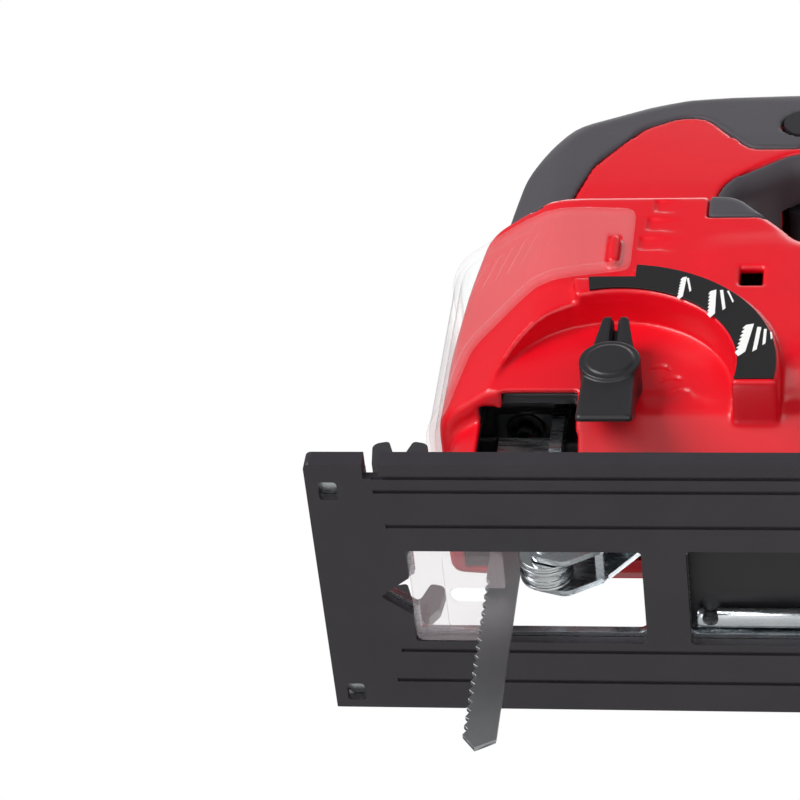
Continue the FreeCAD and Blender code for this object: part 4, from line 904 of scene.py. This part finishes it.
@dataclass
class HousingScrews:
    """Heads of the screws that hold the halves together, down in the wells of the right half."""

    datum: Datum
    places: tuple
    head_r: float = 3.3
    head_high: float = 2.2
    socket_r: float = 1.5
    seat: float = 10.2

    def build(self) -> None:
        """Turn one pan head with a six-lobed socket and set a copy in every well."""
        block = Block((-4, 0, -4), (4, 4, 4), 0.2)
        dome = np.sqrt(block.x**2 + (block.y + 2.6) ** 2 + block.z**2) - 5.1
        head = both(both(block.rod_y(0, 0, self.head_r), dome, 0.3), 0.4 - block.y, 0.2)
        lobes = self.socket_r + 0.25 * np.cos(6 * np.arctan2(block.z, block.x))
        socket = both(np.hypot(block.x, block.z) - lobes, 1.2 - block.y)
        points, quads = block.skin(without(head, socket, 0.1))
        count = len(points)
        all_points = np.concatenate([points + (x, self.seat, z) for x, z in self.places])
        all_quads = np.concatenate([quads + i * count for i in range(len(self.places))])
        self.datum.piece("screw_heads", all_points, all_quads, "dark_steel", "housing", slot=Slot.DARK_STEEL)


@dataclass
class ChipGuard:
    """Clear guard that snaps round the nose: a thin wall between thick rims."""

    datum: Datum
    form: BodyForm
    step: float = 0.55
    stand_off: float = 0.5
    wall: float = 1.5
    rim: float = 2.1
    rim_high: float = 2.0
    ribs: int = 7
    rib_pitch: float = 3.4

    def band(self, block: Block) -> np.ndarray:
        """Side outline of the guard."""
        corners = [(-30, 44, 0), (-17, 44, 4), (-12, 66, 8), (4, 78, 12), (27, 82, 3), (27, 106, 3)]
        return block.side(corners + [(-6, 108, 12), (-30, 108, 0)])

    def build(self) -> None:
        """Make the guard with its rims, grip ribs and catch slots."""
        block = Block((-25, -40.5, 42), (29, 40.5, 110), self.step)
        around = block.plan(self.form.nose_plan(self.form.body_half, self.form.nose_front))
        band = self.band(block)
        thin = both(np.abs(around - self.stand_off - self.wall / 2) - self.wall / 2, band, 0.5)
        raised = np.abs(around - self.stand_off - self.rim_high / 2) - self.rim_high / 2
        rims = both(raised, np.abs(band + self.rim / 2) - self.rim / 2, 0.6)
        guard = either(thin, rims, 0.6)
        for i in range(self.ribs):
            x = -13 + i * self.rib_pitch
            slant = (block.x - x - 0.35 * (block.z - 92)) * 0.94
            rib = both(np.abs(slant) - 0.55, np.abs(block.z - 92 - 0.35 * i) - 5.5, 0.4)
            guard = either(guard, both(rib, np.abs(around - self.stand_off - self.wall) - 0.35, 0.2), 0.2)
        for side in (-1, 1):
            y = (-44, -30) if side < 0 else (30, 44)
            guard = without(guard, block.box((20.5, 24.5), y, (83.5, 96.5), 1.2), 0.4)
        self.datum.carve("clear_chip_guard", block, guard, "clear_plastic", "housing", slot=Slot.CLEAR, replaces=["chip_guard"])


@dataclass
class OrbitScale:
    """White signs on the black band: a blade with one, two and three strokes, for slow to fast orbit."""

    datum: Datum
    form: BodyForm
    face: float = 38.5
    ink: float = 0.08
    teeth: int = 7
    # Each sign: blade (top, foot, width), then its strokes (top, foot, width).
    signs: tuple = (
        (((41.2, 76.6), (40.6, 67.4), 1.25), ((42.1, 76.0), (43.1, 70.4), 0.55)),
        (
            ((48.6, 71.2), (48.8, 60.0), 1.65),
            ((50.7, 71.0), (51.8, 62.9), 0.8),
            ((52.3, 70.7), (53.9, 66.0), 0.45),
        ),
        (
            ((58.3, 57.6), (56.4, 44.6), 2.1),
            ((60.7, 56.1), (59.9, 46.4), 1.0),
            ((62.2, 55.3), (62.1, 49.0), 0.7),
            ((63.6, 54.1), (63.9, 51.3), 0.45),
        ),
    )

    def placed(self, top: tuple, foot: tuple, local: list) -> np.ndarray:
        """Set a shape drawn downwards from 0, 0 along the line from top to foot."""
        top = np.array(top)
        along = np.array(foot) - top
        along /= np.linalg.norm(along)
        across = np.array([-along[1], along[0]])
        return np.array([top + across * u + along * v for u, v in local])

    def stroke(self, top: tuple, foot: tuple, width: float) -> np.ndarray:
        """One straight white stroke, cut to a point at its foot."""
        long = math.dist(top, foot)
        half = width / 2
        return self.placed(top, foot, [(-half, 0), (half, 0), (half, long - width), (-half, long)])

    def blade(self, top: tuple, foot: tuple, width: float) -> np.ndarray:
        """Outline of a saw blade with its teeth to the front and a slanted foot."""
        long = math.dist(top, foot)
        half = width / 2
        pitch = (long - width) / self.teeth
        local = [(half, 0), (half, long - width), (-half * 0.3, long)]
        for i in reversed(range(self.teeth)):
            start = width * 0.35 + i * pitch
            local += [(-half * 1.3, start + pitch * 0.9), (-half * 0.7, start)]
        return self.placed(top, foot, local)

    def build(self) -> None:
        """Print the three signs along the band."""
        shapes = []
        for blade, *strokes in self.signs:
            shapes.append(self.blade(*blade))
            shapes += [self.stroke(*line) for line in strokes]
        points, faces = prisms(shapes, -self.face - self.ink, -self.face + self.ink)
        self.datum.piece("scale_signs", points, faces, "white_ink", "housing", smooth=False)


@dataclass
class OrbitSelector:
    """Lever of the orbit selector: chamfered hub and cap, grooved pointer and square tail."""

    datum: Datum
    form: BodyForm
    hub_r: float = 7.5
    cap_r: float = 5.8
    pointer: float = 19.0
    out: float = 40.0
    inner: float = 30.0
    tail: float = 23.5
    shoe_sweep: float = 42.1

    def build(self) -> None:
        """Make the lever."""
        x, z = self.form.selector_x, self.form.selector_z
        block = Block((x - 9.5, -self.out - 1, z - self.tail - 1.5), (x + 9.5, -self.inner + 1, z + self.pointer + 1.5), 0.3)
        back = block.y + self.inner
        cone = (block.rod_y(x, z, self.hub_r + self.out - 2.1) - block.y - self.out * 2 + 2.1 + self.out) * 0.707
        hub = both(both(block.rod_y(x, z, self.hub_r), cone, 0.3), -(block.y + self.out - 0.4), 0.3)
        cap = both(block.rod_y(x, z, self.cap_r), -(block.y + self.out), 0.4)
        top = z + self.pointer
        wedge = [(x - 6.6, z, 0), (x - 3.1, top, 1.0), (x + 3.1, top, 1.0), (x + 6.6, z, 0)]
        side = block.side(wedge)
        bevel = (side - block.y - self.out + 0.9) * 0.707
        pointer = both(both(side, bevel, 0.3), -(block.y + self.out - 1.7 - 0.10 * (top - block.z)), 0.4)
        slot = block.side([(x - 0.6, z + 6.8, 0.4), (x - 0.45, top + 4, 0), (x + 0.45, top + 4, 0), (x + 0.6, z + 6.8, 0.4)])
        ledge = block.side([(x - 1.1, z + 9, 0.5), (x - 1.0, top + 4, 0), (x + 1.0, top + 4, 0), (x + 1.1, z + 9, 0.5)])
        pointer = without(pointer, both(slot, block.y + self.out - 6.0), 0.25)
        pointer = without(pointer, both(ledge, block.y + self.out - 2.8 - 0.10 * (top - block.z)), 0.25)
        low = z - self.tail
        tail_side = [(-self.out + 1.2, low, 1.2), (-self.inner, low + 12, 0), (-self.inner, z, 0), (-self.out + 1.2, z - 4, 0)]
        tail = both(block.section(tail_side), np.abs(block.x - x) - 7.0, 1.4)
        waist = np.abs(block.x - x) - 6.6 - 0.06 * np.maximum(z - 8 - block.z, 0)
        tail = both(tail, waist, 0.8)
        lever = either(either(either(hub, pointer, 0.5), tail, 0.6), cap, 0.25)
        lever = both(lever, back, 0.4)
        lever = without(lever, block.rod_x(0, self.form.tilt_z, self.shoe_sweep), 0.6)
        self.datum.carve(
            "orbit_lever", block, lever, "black_plastic", "selector", slot=Slot.BLACK_PLASTIC, replaces=["selector_lever"]
        )


@dataclass
class MachineParts:
    """Every CAD node that keeps its own shape: its edges are broken and it takes its finish."""

    datum: Datum
    frame: dict
    edge_mm: float = 0.25
    soft_edge_mm: float = 0.5
    soft: tuple = ("trigger", "lock_button", "speed_dial", "cord_inlet", "left_wing_screw", "right_wing_screw", "lever_tip")
    sharp: tuple = ("saw_blade", "scale_band", "splinter_guard")

    def dress(self, name: str, slot: str) -> None:
        """Give one node its material and broken edges.

        Args:
            name: the CAD node.
            slot: the record's material slot of that node.
        """
        node = self.frame["nodes"][name]
        node.data.materials.clear()
        node.data.materials.append(self.datum.palette.get(slot))
        node.modifiers.new("weld", "WELD").merge_threshold = 0.002 * MM
        width = self.soft_edge_mm if name in self.soft else self.edge_mm
        if name in self.sharp:
            width = 0.08
        bevel = node.modifiers.new("broken_edges", "BEVEL")
        bevel.width = width * MM
        bevel.segments = 2
        bevel.limit_method = "ANGLE"
        bevel.angle_limit = math.radians(35)
        bevel.harden_normals = True

    def build(self) -> None:
        """Dress every node that no other piece stands for."""
        for part in self.frame["record"]["subparts"]:
            if not self.frame["nodes"][part["node"]].hide_render:
                self.dress(part["node"], part["material_slot"])
        LOG.info("dressed the frame's own nodes")


# ---------------------------------------------------------------- studio


@dataclass
class Studio:
    """Pale floor, soft lights, white room and the camera."""

    eye: tuple = (0.07439, -0.59569, -0.66157)
    gaze: tuple = (-0.156712, 0.629428, 0.778888)
    lens: float = 167.6
    floor_z: float = -0.75
    floor_half: float = 6.0

    def floor(self) -> None:
        """Lay a flat round floor of painted board."""
        rings, spokes = 12, 48
        points = [(0.0, 0.0, self.floor_z)]
        for i in range(1, rings + 1):
            r = self.floor_half * i / rings
            for k in range(spokes):
                a = 2 * math.pi * k / spokes
                points.append((r * math.cos(a), r * math.sin(a), self.floor_z))
        faces = [(0, 1 + k, 1 + (k + 1) % spokes) for k in range(spokes)]
        for i in range(rings - 1):
            a, b = 1 + i * spokes, 1 + (i + 1) * spokes
            faces += [(a + k, b + k, b + (k + 1) % spokes, a + (k + 1) % spokes) for k in range(spokes)]
        mesh = bpy.data.meshes.new("floor")
        mesh.from_pydata(points, [], faces)
        # Matt white board: scatters light evenly back up at the tool.
        board = Finish("painted_white_board", "#E9E8E6", "#E2E1DF", 0.85, 2.0, 0.02, cloud_mm=400.0)
        mesh.materials.append(board.build())
        floor = bpy.data.objects.new("floor", mesh)
        bpy.context.scene.collection.objects.link(floor)
        floor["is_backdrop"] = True

    def room(self) -> None:
        """White room: bright to the eye; as a light it is grey at eye level, so that metal has dark bands to reflect."""
        world = bpy.data.worlds.new("white_room")
        bpy.context.scene.world = world
        world.use_nodes = True
        tree = world.node_tree
        tree.nodes.clear()
        seen = add_node(tree, "ShaderNodeBackground", {"Color": linear("#FFFFFF"), "Strength": 1.0})
        place = add_node(tree, "ShaderNodeTexCoord")
        parts = add_node(tree, "ShaderNodeSeparateXYZ", links={"Vector": place.outputs["Generated"]})
        height = add_node(tree, "ShaderNodeMath", {"operation": "ABSOLUTE"}, {0: parts.outputs["Z"]})
        grey = add_node(
            tree,
            "ShaderNodeMapRange",
            {"From Min": 0.05, "From Max": 0.6, "To Min": 0.06, "To Max": 0.24},
            {"Value": height.outputs["Value"]},
        )
        lit = add_node(
            tree, "ShaderNodeBackground", {"Color": linear("#F4F7FA")}, {"Strength": grey.outputs["Result"]}
        )
        path = add_node(tree, "ShaderNodeLightPath")
        mix = add_node(
            tree,
            "ShaderNodeMixShader",
            links={0: path.outputs["Is Camera Ray"], 1: lit.outputs["Background"], 2: seen.outputs["Background"]},
        )
        add_node(tree, "ShaderNodeOutputWorld", links={"Surface": mix.outputs["Shader"]})

    def light(self, name: str, place: tuple, target: Vector, size: float, power: float) -> None:
        """Hang one soft square light.

        Args:
            name: the light's name.
            place: where it hangs, in metres.
            target: what it is turned to.
            size: length of its side.
            power: watts.
        """
        lamp = bpy.data.lights.new(name, "AREA")
        lamp.size = size
        lamp.energy = power
        holder = bpy.data.objects.new(name, lamp)
        holder.location = place
        holder.rotation_euler = (target - Vector(place)).to_track_quat("-Z", "Y").to_euler()
        bpy.context.scene.collection.objects.link(holder)

    def camera(self) -> None:
        """Set the camera, with the tool's length level in the picture."""
        ahead = Vector(self.gaze).normalized()
        right = (Vector((1, 0, 0)) - ahead * ahead.x).normalized()
        up = right.cross(ahead)
        data = bpy.data.cameras.new("camera")
        data.lens = self.lens
        data.sensor_width = 36
        data.clip_start, data.clip_end = 0.05, 20
        camera = bpy.data.objects.new("camera", data)
        turn = Matrix((right, up, -ahead)).transposed().to_4x4()
        camera.matrix_world = Matrix.Translation(self.eye) @ turn
        bpy.context.scene.collection.objects.link(camera)
        bpy.context.scene.camera = camera

    def build(self) -> None:
        """Set up the whole studio round the object."""
        low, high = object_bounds()
        middle = (low + high) / 2
        self.floor()
        self.room()
        self.light("key", (-1.0, -1.3, -0.05), middle, 0.9, 24)
        self.light("below", (0.5, -0.9, -0.55), middle, 0.9, 4)
        self.light("above", (0.2, 0.2, 1.5), middle, 1.2, 11)
        self.light("behind", (0.9, 1.1, 0.5), middle, 1.0, 9)
        self.camera()
        view = bpy.context.scene.view_settings
        view.view_transform = "Standard"
        LOG.info("studio is set")


def main() -> None:
    """Load the frame, build every sub-assembly round it and set up the studio."""
    logging.basicConfig(level=logging.INFO, format="%(name)s %(message)s")
    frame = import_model()
    low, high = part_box("plunger")
    datum = Datum((low.x + high.x) / 2, Palette())
    form = BodyForm()
    housing = Housing(datum, form)
    for assembly in (
        housing,
        HousingScrews(datum, housing.screws),
        ChipGuard(datum, form),
        OrbitScale(datum, form),
        OrbitSelector(datum, form),
        MachineParts(datum, frame),
        Studio(),
    ):
        assembly.build()


if __name__ == "__main__":
    main()
